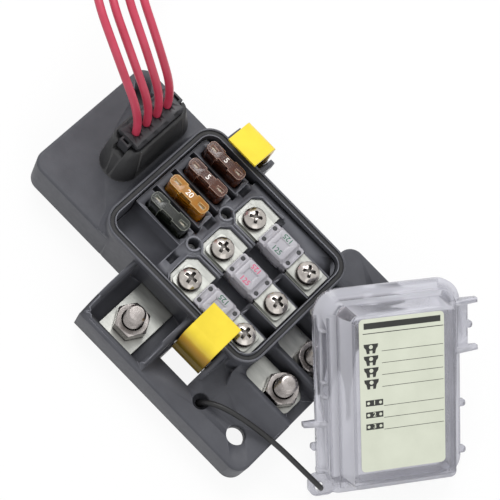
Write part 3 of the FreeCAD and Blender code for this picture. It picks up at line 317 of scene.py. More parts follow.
def finish_piece(made, material, body="housing", replaces=(), smooth=SMOOTH_ANGLE):
    """Gives a finished mesh its material, its shading and the body that it rides on."""
    if isinstance(made, bpy.types.Mesh):
        made = bpy.data.objects.new(made.name, made)
    if made.name not in bpy.context.scene.collection.objects:
        bpy.context.scene.collection.objects.link(made)
    made.data.materials.clear()
    made.data.materials.append(material)
    if made.type == "MESH" and smooth:
        made.data.shade_smooth()
        made.data.set_sharp_from_angle(angle=math.radians(smooth))
    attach(made, body)
    if replaces:
        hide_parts(*replaces)
    return made


def closed_rings(points):
    """Quads over a rows by columns array of points, where the last column joins the first."""
    rows, cols = points.shape[:2]
    row = np.arange(rows - 1)[:, None] * cols
    here = np.arange(cols)[None, :]
    after = (here + 1) % cols
    quads = np.stack([row + here, row + after, row + cols + after, row + cols + here], -1)
    return points.reshape(-1, 3), quads.reshape(-1, 4).tolist()


def build_mesh(name, parts, place=None):
    """One mesh from parts of vertices and faces, moved by a placing matrix where one is given:
    each point times the matrix's turn, plus its move."""
    spots, faces, first = [], [], 0
    for points, rings in parts:
        spots.append(points)
        faces += [[first + i for i in ring] for ring in rings]
        first += len(points)
    spots = np.concatenate(spots)
    if place is not None:
        matrix = np.array(place)
        spots = spots @ matrix[:3, :3].T + matrix[:3, 3]
    mesh = bpy.data.meshes.new(name)
    mesh.from_pydata((spots * MM).tolist(), [], faces)
    return mesh


def rings_round(centre, turn, reach, heights):
    """A ring of SIDES points for each height: x = centre + reach cos(angle) and
    y = centre + reach sin(angle), with equal steps of angle from turn. reach is one value, or
    an array that has a row for each height."""
    angle = turn + ANGLES
    shape = (len(heights), SIDES)
    return np.stack([np.broadcast_to(centre[0] + reach * np.cos(angle), shape),
                     np.broadcast_to(centre[1] + reach * np.sin(angle), shape),
                     np.broadcast_to(np.array(heights)[:, None], shape)], -1)


def hexagon_rings(centre, turn, low, high):
    """Rings up the side of a hexagon with a corner at turn: half the flats / cos(angle from the
    middle of the face), trimmed by a cone of 30 degrees at both ends as a nut's corners are."""
    side = NUT_FLATS / 2 / np.cos(ANGLES % (math.pi / 3) - math.pi / 6)
    heights = np.concatenate([low + np.linspace(0, CORNER_RUN, CORNER_ROWS),
                              high - np.linspace(CORNER_RUN, 0, CORNER_ROWS)])
    away = np.minimum(heights - low, high - heights)[:, None]
    reach = np.minimum(side, NUT_FLATS / 2 - CORNER_INSET + away / CORNER_SLOPE)
    return rings_round(centre, turn, reach, heights)


def stud_part(centre, top):
    """Stud: a hexagon head under the floor, then a rolled thread up to a chamfered end. The
    radius is STUD_R - depth (1 - |cos(pi height / pitch - angle / 2)|^power), one crest in each
    pitch, and no more than a cone of 45 degrees allows at the end."""
    heights = np.arange(STUD_FOOT, top, THREAD_STEP)
    rise = heights[:, None]
    wave = np.abs(np.cos(math.pi * rise / THREAD_PITCH - ANGLES / 2)) ** THREAD_POWER
    reach = np.minimum(STUD_R - THREAD_DEPTH * (1.0 - wave), STUD_R - THREAD_CHAMFER + top - rise)
    return closed_rings(np.concatenate([
        rings_round(centre, 0.0, AXIS_R, [HEAD_FOOT]),
        hexagon_rings(centre, 0.0, HEAD_FOOT, STUD_FOOT),
        rings_round(centre, 0.0, reach, heights),
        rings_round(centre, 0.0, np.array([[END_R], [AXIS_R]]), [top, top])]))


def nut_part(centre, turn, low):
    """Hexagon nut with a small countersink at both ends of its bore: rings from the lower sink
    up the side, over the top and down the bore to the first ring again."""
    high = low + NUT_HEIGHT
    bore = STUD_R + BORE_PLAY
    inner = np.array([[bore + SINK_HIGH], [bore], [bore], [bore + SINK_LOW]])
    return closed_rings(np.concatenate([
        rings_round(centre, turn, bore + SINK_LOW, [low]),
        hexagon_rings(centre, turn, low, high),
        rings_round(centre, turn, inner, [high, high - SINK_HIGH, low + SINK_LOW, low])]))


def smooth_copy(node, name, material, body="housing", angle=COPY_ANGLE):
    """Copy of a node of the frame with its corners merged and shaded smooth, its large faces
    kept flat."""
    source = bpy.data.objects[node]
    mesh = bpy.data.meshes.new(name)
    work = bmesh.new()
    work.from_mesh(source.data)
    work.transform(source.matrix_world)
    bmesh.ops.remove_doubles(work, verts=work.verts, dist=MERGE_REACH)
    work.to_mesh(mesh)
    work.free()
    mesh.shade_smooth()
    mesh.set_sharp_from_angle(angle=math.radians(angle))
    holder = bpy.data.objects.new(name, mesh)
    bpy.context.scene.collection.objects.link(holder)
    weigh = holder.modifiers.new("even shading", "WEIGHTED_NORMAL")
    weigh.keep_sharp = True
    weigh.mode = "FACE_AREA_WITH_ANGLE"
    weigh.weight = FLAT_WEIGHT
    shaded = holder.evaluated_get(bpy.context.evaluated_depsgraph_get())
    even = bpy.data.meshes.new_from_object(shaded)
    bpy.data.objects.remove(holder)
    even.name = name
    return finish_piece(even, material, body, (node,), smooth=0)


def dress(node, material):
    """Gives a node of the frame its material."""
    piece = bpy.data.objects[node]
    piece.data.materials.clear()
    piece.data.materials.append(material)


# Flat print. Each mark is vertices in millimetres and faces.

PRINT_LIFT = 0.02
PALE_LIFT = 0.01                # of a pale mark over the dark one that it lies on
DIGIT_STEPS = 4
DIGIT_WEIGHT = 0.012
DISC_SIDES = 24


def digits(text, size, spot, turn=0.0, wide=1.0):
    """Digits laid flat and centred on a spot, turned about Z: x cos - y sin and x sin + y cos.
    They are made a mesh before they are placed. wide stretches them sideways."""
    data = bpy.data.curves.new("digits", "FONT")
    data.body = text
    data.size = size
    data.align_x = "CENTER"
    data.align_y = "CENTER"
    data.resolution_u = DIGIT_STEPS
    data.offset = DIGIT_WEIGHT * size
    holder = bpy.data.objects.new("digits", data)
    bpy.context.scene.collection.objects.link(holder)
    shape = holder.evaluated_get(bpy.context.evaluated_depsgraph_get()).to_mesh()
    flat = np.zeros(len(shape.vertices) * 3, dtype=np.float32)
    shape.vertices.foreach_get("co", flat)
    faces = [list(face.vertices) for face in shape.polygons]
    bpy.data.objects.remove(holder)
    bpy.data.curves.remove(data)
    x, y, _ = flat.reshape(-1, 3).T
    x = x * wide
    cos, sin = math.cos(turn), math.sin(turn)
    return np.stack([spot[0] + x * cos - y * sin, spot[1] + x * sin + y * cos,
                     np.full(len(x), spot[2])], -1), faces


def polygon(x, y, height):
    """One flat face with its corners at x and y."""
    x, y, z = np.broadcast_arrays(x, y, height)
    return np.stack([x, y, z], -1).astype(float), [list(range(len(x)))]


def bar(x0, x1, y0, y1, height):
    """One flat rectangle."""
    return polygon([x0, x1, x1, x0], [y0, y0, y1, y1], height)


def disc(x, y, radius, height):
    """One flat round spot: x + radius cos(turn), y + radius sin(turn)."""
    turns = np.linspace(0, 2 * math.pi, DISC_SIDES, endpoint=False)
    return polygon(x + radius * np.cos(turns), y + radius * np.sin(turns), height)


def printed(name, marks, material, body="housing", place=None):
    """Flat marks as one thin piece of print."""
    return finish_piece(build_mesh(name, marks, place), material, body, smooth=0)


# Sizes and colours that a user would change

class FuseBlockSettings(bpy.types.PropertyGroup):
    wire_thickness: bpy.props.FloatProperty(
        name="Lead thickness", description="Outside diameter of each lead", default=0.0033,
        unit="LENGTH", subtype="DISTANCE")
    tether_thickness: bpy.props.FloatProperty(
        name="Tether thickness", description="Diameter of the cover's tether", default=0.0022,
        unit="LENGTH", subtype="DISTANCE")
    housing_colour: bpy.props.StringProperty(
        name="Housing", description="sRGB hex colour of the base moulding", default="#424349")
    lead_colour: bpy.props.StringProperty(
        name="Leads", description="sRGB hex colour of the lead insulation", default="#ae3048")
    latch_colour: bpy.props.StringProperty(
        name="Latches", description="sRGB hex colour of the latches", default="#e8cf34")


def settings():
    """The sizes and colours as they are set now."""
    return bpy.context.scene.fuse_block


# Stage. The camera comes from the fit of known part sizes to the picture: CAMERA_RIGHT, _DOWN
# and _AHEAD are the directions of its sides, and CAMERA_SPOT is in metres.

CAMERA_RIGHT = (0.69855137, 0.67295735, 0.24321675)
CAMERA_DOWN = (0.71392334, -0.63248375, -0.30046259)
CAMERA_AHEAD = (-0.04836787, 0.38352667, -0.92226235)
CAMERA_SPOT = (0.042158, -0.265308, 0.685270)
CAMERA_LENS = 130.75
SENSOR_WIDTH = 36.0
CLIP_START = 0.01

WHITE = (1.0, 1.0, 1.0, 1.0)
PAPER = (0.8, 0.8, 0.8, 1.0)
FLOOR_REACH = 3.0
FLOOR_GLOW = 0.9                # share of its own light where the floor is seen
SURROUND = 0.88                 # light of the white surround, where it isn't seen itself
LAMP_AIM = (0.0, 0.0, 0.02)
LAMPS = (("key lamp", (-0.45, 0.35, 0.8), 0.5, 5.5),
         ("fill lamp", (0.7, -0.5, 0.7), 0.7, 1.2))     # name, place, size in metres, watts


class FUSEBLOCK_OT_stage(bpy.types.Operator):
    """Pale floor, plain soft light and the camera at the photograph's angle"""

    bl_idname = "fuseblock.stage"
    bl_label = "Stage"

    def execute(self, context):
        place_camera()
        lay_floor()
        hang_lamps()
        return {"FINISHED"}


def place_camera():
    """Camera that sees the block as the picture does."""
    data = bpy.data.cameras.new("camera")
    data.sensor_fit = "HORIZONTAL"
    data.sensor_width = SENSOR_WIDTH
    data.lens = CAMERA_LENS
    data.clip_start = CLIP_START
    camera = bpy.data.objects.new("camera", data)
    turn = Matrix([(right, -down, -ahead)
                   for right, down, ahead in zip(CAMERA_RIGHT, CAMERA_DOWN, CAMERA_AHEAD)])
    camera.matrix_world = Matrix.Translation(CAMERA_SPOT) @ turn.to_4x4()
    bpy.context.scene.collection.objects.link(camera)
    bpy.context.scene.camera = camera


def lay_floor():
    """A flat white sheet under the block, with its shadow kept, that reads as plain white in
    the picture."""
    data = bpy.data.meshes.new("floor")
    data.from_pydata([(x * FLOOR_REACH, y * FLOOR_REACH, 0)
                      for x, y in ((-1, -1), (1, -1), (1, 1), (-1, 1))], [], [(0, 1, 2, 3)])
    made = bpy.data.materials.new("white paper sweep")
    made.use_nodes = True
    tree = made.node_tree
    tree.nodes.clear()
    out = add_node(tree, "ShaderNodeOutputMaterial")
    paper = add_node(tree, "ShaderNodeBsdfDiffuse", {"Color": PAPER})
    lift = add_node(tree, "ShaderNodeEmission", {"Color": WHITE, "Strength": 1.0})
    share = add_node(tree, "ShaderNodeMath", {0: seen_directly(tree), 1: FLOOR_GLOW},
                     operation="MULTIPLY")
    both = add_node(tree, "ShaderNodeMixShader", {
        "Fac": share.outputs[0], 1: paper.outputs[0], 2: lift.outputs[0]})
    tree.links.new(both.outputs[0], out.inputs["Surface"])
    data.materials.append(made)
    floor = bpy.data.objects.new("floor", data)
    bpy.context.scene.collection.objects.link(floor)


def seen_directly(tree):
    """One where the camera sees it, straight, in a reflection or through something clear."""
    path = add_node(tree, "ShaderNodeLightPath")
    seen = path.outputs["Is Camera Ray"]
    for way in ("Is Glossy Ray", "Is Transmission Ray"):
        either = add_node(tree, "ShaderNodeMath", {0: seen, 1: path.outputs[way]},
                          operation="MAXIMUM")
        seen = either.outputs[0]
    return seen


def hang_lamps():
    """Even white surround with one large soft lamp high on the left and a weaker one on the
    right."""
    world = bpy.data.worlds.new("studio")
    bpy.context.scene.world = world
    world.use_nodes = True
    tree = world.node_tree
    tree.nodes.clear()
    out = add_node(tree, "ShaderNodeOutputWorld")
    dim = add_node(tree, "ShaderNodeBackground", {"Color": WHITE, "Strength": SURROUND})
    white = add_node(tree, "ShaderNodeBackground", {"Color": WHITE, "Strength": 1.0})
    path = add_node(tree, "ShaderNodeLightPath")
    both = add_node(tree, "ShaderNodeMixShader", {
        "Fac": path.outputs["Is Camera Ray"], 1: dim.outputs[0], 2: white.outputs[0]})
    tree.links.new(both.outputs[0], out.inputs["Surface"])
    for name, spot, size, power in LAMPS:
        data = bpy.data.lights.new(name, "AREA")
        data.size = size
        data.energy = power
        lamp = bpy.data.objects.new(name, data)
        lamp.location = spot
        aim = Vector(LAMP_AIM) - Vector(spot)
        lamp.rotation_euler = aim.to_track_quat("-Z", "Y").to_euler()
        bpy.context.scene.collection.objects.link(lamp)


# Cords. LEAD_ROUTE is the way of one lead from its entry at the top of the connector, and
# TETHER_ROUTE that of the tether from the top of its boss, both in millimetres.

LEAD_ROUTE = ((0, 0, 0), (0, 0, 14), (-14, 0, 36), (-36, 8, 45), (-51, 26, 33), (-54, 43, 9),
              (-55, 57, -16), (-56, 75, -36), (-59, 90, -36))
LEAD_ARCH = range(2, 6)         # points of the route that are lifted where leads would touch
LEAD_LYING = range(7, 9)        # points of the route that lie on the floor
LEAD_LIFT = 1.2
LEAD_SPREAD = 0.08
LEAD_LIE = 1.75                 # height of a lead's middle where it lies on the floor
LEAD_ENTRY = 3.0                # how deep a lead starts in the connector
LEAD_LENGTHS = (0.1875, 0.197, 0.2028, 0.2126)          # metres, of the source's tubes

TETHER_ROUTE = ((0.0, 0.0, -4.5), (0.6, 0.2, 1.6), (8.0, 3.4, 4.6), (20.0, 6.8, 3.6),
                (33.0, 9.0, 2.2), (44.0, 10.6, -1.6))
TETHER_ENDS = (5.0, -0.2)       # heights over the cover's tab of the last two points

CORD_ORDER = 3
CORD_STEPS = 14
CORD_ROUND = 6


def lead_points(index):
    """Control points of a lead: the same route for all, spread a little and lifted in turn so
    that they part."""
    y = PLUG[1] + ((len(LEAD_LENGTHS) - 1) / 2 - index) * WIRE_PITCH
    spread = 1.0 + LEAD_SPREAD * index
    lift = LEAD_LIFT * (index % 2)
    points = []
    for n, (dx, dy, dz) in enumerate(LEAD_ROUTE):
        up = PLUG_TOP - LEAD_ENTRY + dz
        if n in LEAD_ARCH:
            up += lift
        if n in LEAD_LYING:
            up = LEAD_LIE
        points.append((PLUG[0] + dx * spread, y + dy * spread, up))
    return points


def tether_points():
    """Control points of the tether: up out of its boss, over the flange and down into the
    cover's tab."""
    x, y = ANCHOR
    return [(x + dx, y + dy, FLANGE_TOP + dz) for dx, dy, dz in TETHER_ROUTE] + [
        cover_point(*COVER_TAB, COVER_FLANGE + over) for over in TETHER_ENDS]


def cord_curve(name, points, thickness):
    """One smooth NURBS line with the route's points as its control points, bevelled to a round
    cord."""
    data = bpy.data.curves.new(name, "CURVE")
    data.dimensions = "3D"
    line = data.splines.new("NURBS")
    line.points.add(len(points) - 1)
    spots = np.hstack([np.array(points) * MM, np.ones((len(points), 1))])
    line.points.foreach_set("co", spots.ravel())
    line.order_u = CORD_ORDER
    line.use_endpoint_u = True
    line.resolution_u = CORD_STEPS
    data.bevel_depth = thickness / 2
    data.bevel_resolution = CORD_ROUND
    data.use_fill_caps = True
    return bpy.data.objects.new(name, data)


class FUSEBLOCK_OT_leads(bpy.types.Operator):
    """Four insulated leads from the connector, out over the wire end and down to the floor"""

    bl_idname = "fuseblock.leads"
    bl_label = "Leads"

    def execute(self, context):
        # Extruded, so its skin is even and half glossy, with hardly any grain
        insulation = moulded_plastic(
            "extruded PVC insulation", settings().lead_colour, "#bc3c56", 0.38, grain=1.2,
            depth=0.01, edge=0)
        for index in range(len(LEAD_LENGTHS)):
            name = "lead_%d" % (index + 1)
            points = lead_points(index)
            line = cord_curve(name + "_insulation", points, settings().wire_thickness)
            line = finish_piece(line, insulation, replaces=(name,))
        return {"FINISHED"}


class FUSEBLOCK_OT_tether(bpy.types.Operator):
    """Soft black tether that keeps the cover with the base"""

    bl_idname = "fuseblock.tether"
    bl_label = "Tether"

    def execute(self, context):
        # Soft rubber takes no polish: black, dull and even
        rubber = moulded_plastic("soft elastomer cord", "#141414", "#1e1e1f", 0.5, grain=0.8,
                                 depth=0.01, edge=0)
        points = tether_points()
        line = cord_curve("tether_cord", points, settings().tether_thickness)
        line = finish_piece(line, rubber, replaces=("tether",))
        return {"FINISHED"}


# Half sizes of the boot about the connector, and how far over the plate it begins

BOOT_HALF = (10.5, 22.5)
BOOT_LIFT = 0.15


def darken_boot(mesh, material):
    """Gives the faces of the connector boot, those above the plate and about the connector,
    their own material."""
    centres = np.zeros(len(mesh.polygons) * 3)
    mesh.polygons.foreach_get("center", centres)
    x, y, z = centres.reshape(-1, 3).T / MM
    inside = ((np.abs(x - PLUG[0]) < BOOT_HALF[0]) & (np.abs(y - PLUG[1]) < BOOT_HALF[1])
              & (z > PLATE_TOP + BOOT_LIFT))
    mesh.materials.append(material)
    mesh.polygons.foreach_set("material_index", inside.astype(int))


class FUSEBLOCK_OT_moulding(bpy.types.Operator):
    """Base, fuse deck, connector housing and rim seal"""

    bl_idname = "fuseblock.moulding"
    bl_label = "Base mouldings"

    def execute(self, context):
        # Glass fibre at the skin makes it matt; edges get a painted highlight, pockets painted
        # shade
        nylon = moulded_plastic(
            "moulded glass-filled nylon", settings().housing_colour, "#4a4b51", 0.55,
            rim="#96979f", painted_shade="#1c1d20", Specular_IOR_Level=0.35)
        # The deck is lighter grey, has a painted highlight on edges and lighter painted shade in
        # wells
        inner = moulded_plastic(
            "moulded nylon deck", "#56575d", "#5e5f66", 0.55, rim="#9899a1", painted_shade="#3a3b40",
            Specular_IOR_Level=0.35)
        # Plain nylon is a little glossier, and silicone is dull and nearly black
        plug = moulded_plastic("moulded black nylon", "#26262a", "#303034", 0.5)
        seal = moulded_plastic("moulded silicone seal", "#1c1c1d", "#242425", 0.65)
        # The boot is part of the base, and reads darker than the rest of it
        boot = moulded_plastic("moulded nylon, darker at the connector boot", "#2a2a2b",
                               "#343435", 0.5)
        base = smooth_copy("base", "base_moulding", nylon, angle=BASE_ANGLE)
        darken_boot(base.data, boot)
        smooth_copy("fuse_deck", "fuse_deck_moulding", inner)
        smooth_copy("connector_housing", "connector_moulding", plug)
        smooth_copy("rim_gasket", "rim_seal", seal)
        return {"FINISHED"}


# Drawn and rolled strip shows streaks four times as long as they are wide. The nuts stopped
# where they were tight: degrees of the first output nut, and how much further each next one is

STRIP_STRETCH = (0.25, 1, 1)
NUT_FIRST_TURN, NUT_NEXT_TURN = 20, 17


class FUSEBLOCK_OT_metalwork(bpy.types.Operator):
    """Bars, terminals, studs, nuts, screws, washers and pins"""

    bl_idname = "fuseblock.metalwork"
    bl_label = "Metalwork"

    def execute(self, context):
        # Tin over drawn copper: soft grey-white with streaks along the bar
        tin = worked_metal("tin plated copper", "#9a9b97", "#bdbeb9", 0.3, STRIP_STRETCH,
                           recess=1.0)
        # A rolled thread: painted shade darkens its roots and the stud near the nut, crests stay
        # bright
        steel = worked_metal("rolled stainless thread", "#958f8c", "#bab4b1", 0.26, recess=3.4)
        # Nickel is warm and bright, and painted shade darkens the pressed cross of a screw
        nickel = worked_metal("nickel plated steel", "#aaa49f", "#d0cac4", 0.2, recess=2.0,
                              shade=(0.5, 0.9))
        # Turned parts are bright and even
        bright = worked_metal("bright turned steel", "#c8c8c8", "#e2e2e2", 0.3, recess=0.3)
        brass = worked_metal("turned brass", "#a88a4a", "#c4a662", 0.3)
        for node in ("feed_busbar", "feed_terminals", "output_terminals", "blade_bus",
                     "output_bar_1", "output_bar_2", "output_bar_3", "circuit_strip_1",
                     "circuit_strip_2", "circuit_strip_3", "circuit_strip_4"):
            dress(node, tin)
        outputs = [(OUTPUT_X, y) for y in ROWS]
        studs = [("feed_stud", FEED_STUD, FEED_STUD_TOP)]
        studs += [("output_stud_%d" % (i + 1), centre, OUT_STUD_TOP)
                  for i, centre in enumerate(outputs)]
        for node, centre, top in studs:
            thread = build_mesh(node + "_thread", [stud_part(centre, top)])
            finish_piece(thread, steel, replaces=(node,))
        turns = [math.radians(NUT_FIRST_TURN + NUT_NEXT_TURN * i) for i in range(len(outputs))]
        nuts = [nut_part(centre, turn, BAR_TOP) for centre, turn in zip(outputs, turns)]
        finish_piece(build_mesh("output_nut_set", nuts), steel, replaces=("output_nuts",),
                     smooth=NUT_ANGLE)
        feed = nut_part(FEED_STUD, 0.0, BAR_TOP)
        finish_piece(build_mesh("feed_nut_turned", [feed]), steel, replaces=("feed_nut",),
                     smooth=NUT_ANGLE)
        for node in ("strap_screws_feed", "strap_screws_output"):
            smooth_copy(node, node + "_pressed", nickel)
        for node in ("strap_washers_feed", "strap_washers_output"):
            dress(node, nickel)
        for node in ("deck_screws", "latch_pin_1", "latch_pin_2"):
            dress(node, bright)
        for node in ("feed_pillars", "output_pillars"):
            dress(node, brass)
        return {"FINISHED"}


STRAP_RATING = "125"
STRAP_RATING_SIZE = 3.1
STRAP_RATING_OFF = 3.4          # from the middle of the body to the middle of a number


class FUSEBLOCK_OT_strap_fuses(bpy.types.Operator):
    """Three bolted strap fuses with their pale bodies, pin ends and printed ratings"""

    bl_idname = "fuseblock.strap_fuses"
    bl_label = "Strap fuses"

    def execute(self, context):
        # Tinned rolled strip: paler than the bars, with the same streaks
        tin = worked_metal("tin plated fuse strip", "#a9aaa5", "#cbccc6", 0.28, STRIP_STRETCH,
                           recess=1.0)
        # Milky and half glossy, so some light goes in
        body = moulded_plastic("translucent polysulfone", "#b4b2ba", "#c2c0c6", 0.3, grain=1.0,
                               depth=0.01, edge=0.3, Transmission_Weight=0.3)
        dark = moulded_plastic("dark pin ends", "#202024", "#2a2a2e", 0.4)
        # Pad printed ink is thin, matt and even
        green = moulded_plastic("printed green ink", "#14523b", "#1c6046", 0.5, edge=0)
        red = moulded_plastic("printed red ink", "#c03a66", "#cc4a74", 0.5, edge=0)
        for index, (y, ink) in enumerate(zip(ROWS, (green, red, green))):
            number = index + 1
            dress("strap_fuse_%d" % number, tin)
            smooth_copy("strap_fuse_body_%d" % number, "strap_body_%d" % number, body)
            marks = []
            for side, turn in ((-1, 0.0), (1, math.pi)):
                spot = (STRAP_PITCH / 2, y + side * STRAP_RATING_OFF, STRAP_CROWN + PRINT_LIFT)
                marks.append(digits(STRAP_RATING, STRAP_RATING_SIZE, spot, turn))
            printed("strap_rating_%d" % number, marks, ink)
        dress("strap_rivets", dark)
        return {"FINISHED"}


# Two tones of each body, the tone of the painted highlight along its edges, and its rating

BLADE_TINTS = (("#5c3426", "#74442f", "#dab8a8", "5"), ("#5c3426", "#74442f", "#dab8a8", "5"),
               ("#cc8416", "#e09a22", "#ffe0a0", "20"), ("#262a24", "#363a32", "#a8aca0", ""))
BLADE_RATING_SIZE = 3.3


class FUSEBLOCK_OT_blade_fuses(bpy.types.Operator):
    """Four blade fuses that pull straight up, each with its tinted body and zinc element, and
    three with a printed rating"""

    bl_idname = "fuseblock.blade_fuses"
    bl_label = "Blade fuses"

    def execute(self, context):
        # Stamped zinc is mid grey with a soft shine
        zinc = worked_metal("stamped zinc alloy", "#8e877c", "#aea698", 0.3)
        white = moulded_plastic("printed white ink", "#e6e2dc", "#f0ece6", 0.5, edge=0)
        for index, (dark, light, pale, rating) in enumerate(BLADE_TINTS):
            number = index + 1
            name = "blade_fuse_%d" % number
            # From a polished mould: glossy and deep in the middle, with a painted highlight on its
            # edges
            tint = moulded_plastic("tinted polycarbonate %d" % number, dark, light, 0.16,
                                   grain=1.5, depth=0.005, edge=0.3, rim=pale,
                                   Transmission_Weight=0.6)
            smooth_copy("blade_fuse_body_%d" % number, name + "_moulding", tint, name)
            dress("blade_fuse_element_%d" % number, zinc)
            if rating:
                spot = (BLADE_X, BLADE_FIRST_Y - BLADE_PITCH * index, BLADE_TOP + PRINT_LIFT)
                marks = [digits(rating, BLADE_RATING_SIZE, spot)]
                printed(name + "_rating", marks, white, name)
        return {"FINISHED"}


LATCH_SHADE = (0.02, 0.0365)    # metres: heights where the shade of the foot ends
LATCH_SHADE_MIDDLE = 0.6
LATCH_GLOSS = (0.3, 0.42)
ACETAL_IOR = 1.48


def shaded_acetal():
    """Yellow acetal, half glossy, with painted shade that deepens its colour from the arm toward
    the foot."""
    made, tree, shader, place = blank_material("moulded yellow acetal")
    colour, patches = mottle(tree, place, FLOW_PATCH, srgb("#dcc42e"),
                             srgb(settings().latch_colour))
    # Painted shade: the colour is multiplied by a ramp on height, darkest at the foot, none at the
    # arm
    part = add_node(tree, "ShaderNodeSeparateXYZ", {"Vector": place})
    high = add_node(tree, "ShaderNodeMapRange", {
        "Value": part.outputs["Z"], "From Min": LATCH_SHADE[0], "From Max": LATCH_SHADE[1]})
    tone = add_node(tree, "ShaderNodeValToRGB", {"Fac": high.outputs["Result"]})
    tone.color_ramp.elements[0].color = srgb("#6a6248")
    tone.color_ramp.elements[1].color = srgb("#ffffff")
    tone.color_ramp.elements.new(LATCH_SHADE_MIDDLE).color = srgb("#c9a868")
    toned = add_node(tree, "ShaderNodeMix", {0: 1.0, 6: colour, 7: tone.outputs["Color"]},
                     data_type="RGBA", blend_type="MULTIPLY")
    tree.links.new(toned.outputs[2], shader.inputs["Base Color"])
    gloss = add_node(tree, "ShaderNodeMapRange", {
        "Value": patches, "To Min": LATCH_GLOSS[0], "To Max": LATCH_GLOSS[1]})
    tree.links.new(gloss.outputs["Result"], shader.inputs["Roughness"])
    bump = grain_bump(tree, place, size_mm=1.5, depth_mm=0.005, edge_mm=0.5)
    tree.links.new(bump, shader.inputs["Normal"])
    set_inputs(shader, IOR=ACETAL_IOR)
    return made


class FUSEBLOCK_OT_latches(bpy.types.Operator):
    """Two yellow latches that swing over the rim"""

    bl_idname = "fuseblock.latches"
    bl_label = "Latches"

    def execute(self, context):
        yellow = shaded_acetal()
        for index in (1, 2):
            smooth_copy("latch_%d" % index, "latch_moulding_%d" % index, yellow,
                        "latch_%d_arm" % index)
        return {"FINISHED"}


# Label, in the cover's own millimetres. Boxes and lines give their lowest and highest x, then y.

HEADING_BAR = (13.9, 45.4, 70.6, 73.0)
HEADING_LINE = (13.5, 46.6, 68.7, 69.0)

# A blade fuse from its side: x, and how far down from its top. Then the pale spot's x, down
# and radius, the top of the first symbol, and the line beside it
BLADE_OUTLINE = ((13.7, 0.0), (19.7, 0.0), (19.5, 1.2), (18.8, 2.0), (18.4, 3.8), (17.3, 3.8),
                 (17.3, 2.6), (16.1, 2.6), (16.1, 3.8), (15.0, 3.8), (14.6, 2.0), (13.9, 1.2))
BLADE_SPOT = (16.7, 1.2, 0.8)
BLADE_SYMBOL_TOP, BLADE_SYMBOL_STEP = 64.7, 4.7
BLADE_LINE = (21.1, 46.4, 61.4, 61.6)
BLADE_LINE_STEP = 4.72

# A strap fuse: the middle of its row, its box and line from there, its pale spots and number
STRAP_ROW, STRAP_ROW_STEP = 41.2, 4.75
STRAP_BOX = (14.2, 21.3, -1.2, 1.2)
STRAP_LINE = (21.6, 46.4, -1.7, -1.5)
STRAP_SPOTS = (15.3, 20.2)
STRAP_SPOT_R = 0.6
NUMBER_X, NUMBER_SIZE, NUMBER_WIDE = 17.75, 2.4, 1.2


def shifted_bar(box, up, height):
    """A rectangle of the label moved up by that much."""
    x0, x1, y0, y1 = box
    return bar(x0, x1, y0 + up, y1 + up, height)


def blade_symbol(top, height):
    """A blade fuse seen from its side: a wide head over two legs, with a pale spot in it."""
    x, down = np.array(BLADE_OUTLINE).T
    spot_x, spot_down, radius = BLADE_SPOT
    return (polygon(x, top - down, height),
            disc(spot_x, top - spot_down, radius, height + PALE_LIFT))


def label_marks():
    """Dark print and the pale marks on it: a heading bar, ruled lines to write on, and a symbol
    for each of the four blade fuses and three strap fuses."""
    height = COVER_DEPTH + LABEL_THICK + PRINT_LIFT
    above = height + PALE_LIFT
    dark = [bar(*HEADING_BAR, height), bar(*HEADING_LINE, height)]
    pale = []
    for step in range(len(BLADE_TINTS)):
        symbol, spot = blade_symbol(BLADE_SYMBOL_TOP - BLADE_SYMBOL_STEP * step, height)
        dark += [symbol, shifted_bar(BLADE_LINE, -BLADE_LINE_STEP * step, height)]
        pale.append(spot)
    for step in range(len(ROWS)):
        y = STRAP_ROW - STRAP_ROW_STEP * step
        dark += [shifted_bar(STRAP_BOX, y, height), shifted_bar(STRAP_LINE, y, height)]
        pale += [disc(x, y, STRAP_SPOT_R, above) for x in STRAP_SPOTS]
        pale.append(digits(str(step + 1), NUMBER_SIZE, (NUMBER_X, y, above), wide=NUMBER_WIDE))
    return dark, pale


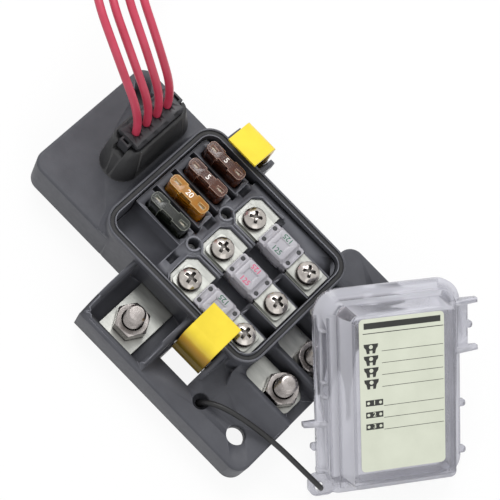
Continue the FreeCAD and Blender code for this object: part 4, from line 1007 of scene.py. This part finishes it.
class FUSEBLOCK_OT_cover(bpy.types.Operator):
    """Clear cover that leans on the middle output stud, with its label"""

    bl_idname = "fuseblock.cover"
    bl_label = "Cover and label"

    def execute(self, context):
        # From a polished mould: glossy, nearly colourless, with a painted highlight along its
        # edges.
        # The index is under the real 1.58, matched to how little the thin walls bend the view
        clear = moulded_plastic(
            "clear moulded polycarbonate", "#c0c0c8", "#ccccd4", 0.14, grain=2.0, depth=0.003,
            edge=0.3, rim="#d0d0d8", ior=1.3, Transmission_Weight=0.84)
        # Film and its ink are matt and even
        paper = moulded_plastic("printed vinyl film", "#c6cab9", "#cdd1c0", 0.5, grain=1.5,
                                depth=0.003, edge=0)
        ink = moulded_plastic("printed black ink", "#1a1b18", "#242521", 0.5, edge=0)
        gap = moulded_plastic("unprinted film", "#c6cab9", "#cdd1c0", 0.5, edge=0)
        smooth_copy("cover", "cover_moulding", clear)
        dress("cover_label", paper)
        dark, pale = label_marks()
        printed("label_print", dark, ink, place=cover_matrix())
        printed("label_gaps", pale, gap, place=cover_matrix())
        return {"FINISHED"}


STEPS = (FUSEBLOCK_OT_stage, FUSEBLOCK_OT_leads, FUSEBLOCK_OT_tether, FUSEBLOCK_OT_moulding,
         FUSEBLOCK_OT_metalwork, FUSEBLOCK_OT_strap_fuses, FUSEBLOCK_OT_blade_fuses,
         FUSEBLOCK_OT_latches, FUSEBLOCK_OT_cover)


class FUSEBLOCK_PT_panel(bpy.types.Panel):
    bl_label = "Fuse block"
    bl_idname = "FUSEBLOCK_PT_panel"
    bl_space_type = "VIEW_3D"
    bl_region_type = "UI"
    bl_category = "Fuse block"

    def draw(self, context):
        for name in FuseBlockSettings.__annotations__:
            self.layout.prop(context.scene.fuse_block, name)
        for step in STEPS:
            self.layout.operator(step.bl_idname)


CLASSES = (FuseBlockSettings, *STEPS, FUSEBLOCK_PT_panel)


def register():
    for one in CLASSES:
        bpy.utils.register_class(one)
    bpy.types.Scene.fuse_block = bpy.props.PointerProperty(type=FuseBlockSettings)


def unregister():
    del bpy.types.Scene.fuse_block
    for one in reversed(CLASSES):
        bpy.utils.unregister_class(one)


def main():
    register()
    bpy.context.scene.view_settings.view_transform = "Standard"
    for step in STEPS:
        group, name = step.bl_idname.split(".")
        getattr(getattr(bpy.ops, group), name)()


if __name__ == "__main__":
    main()
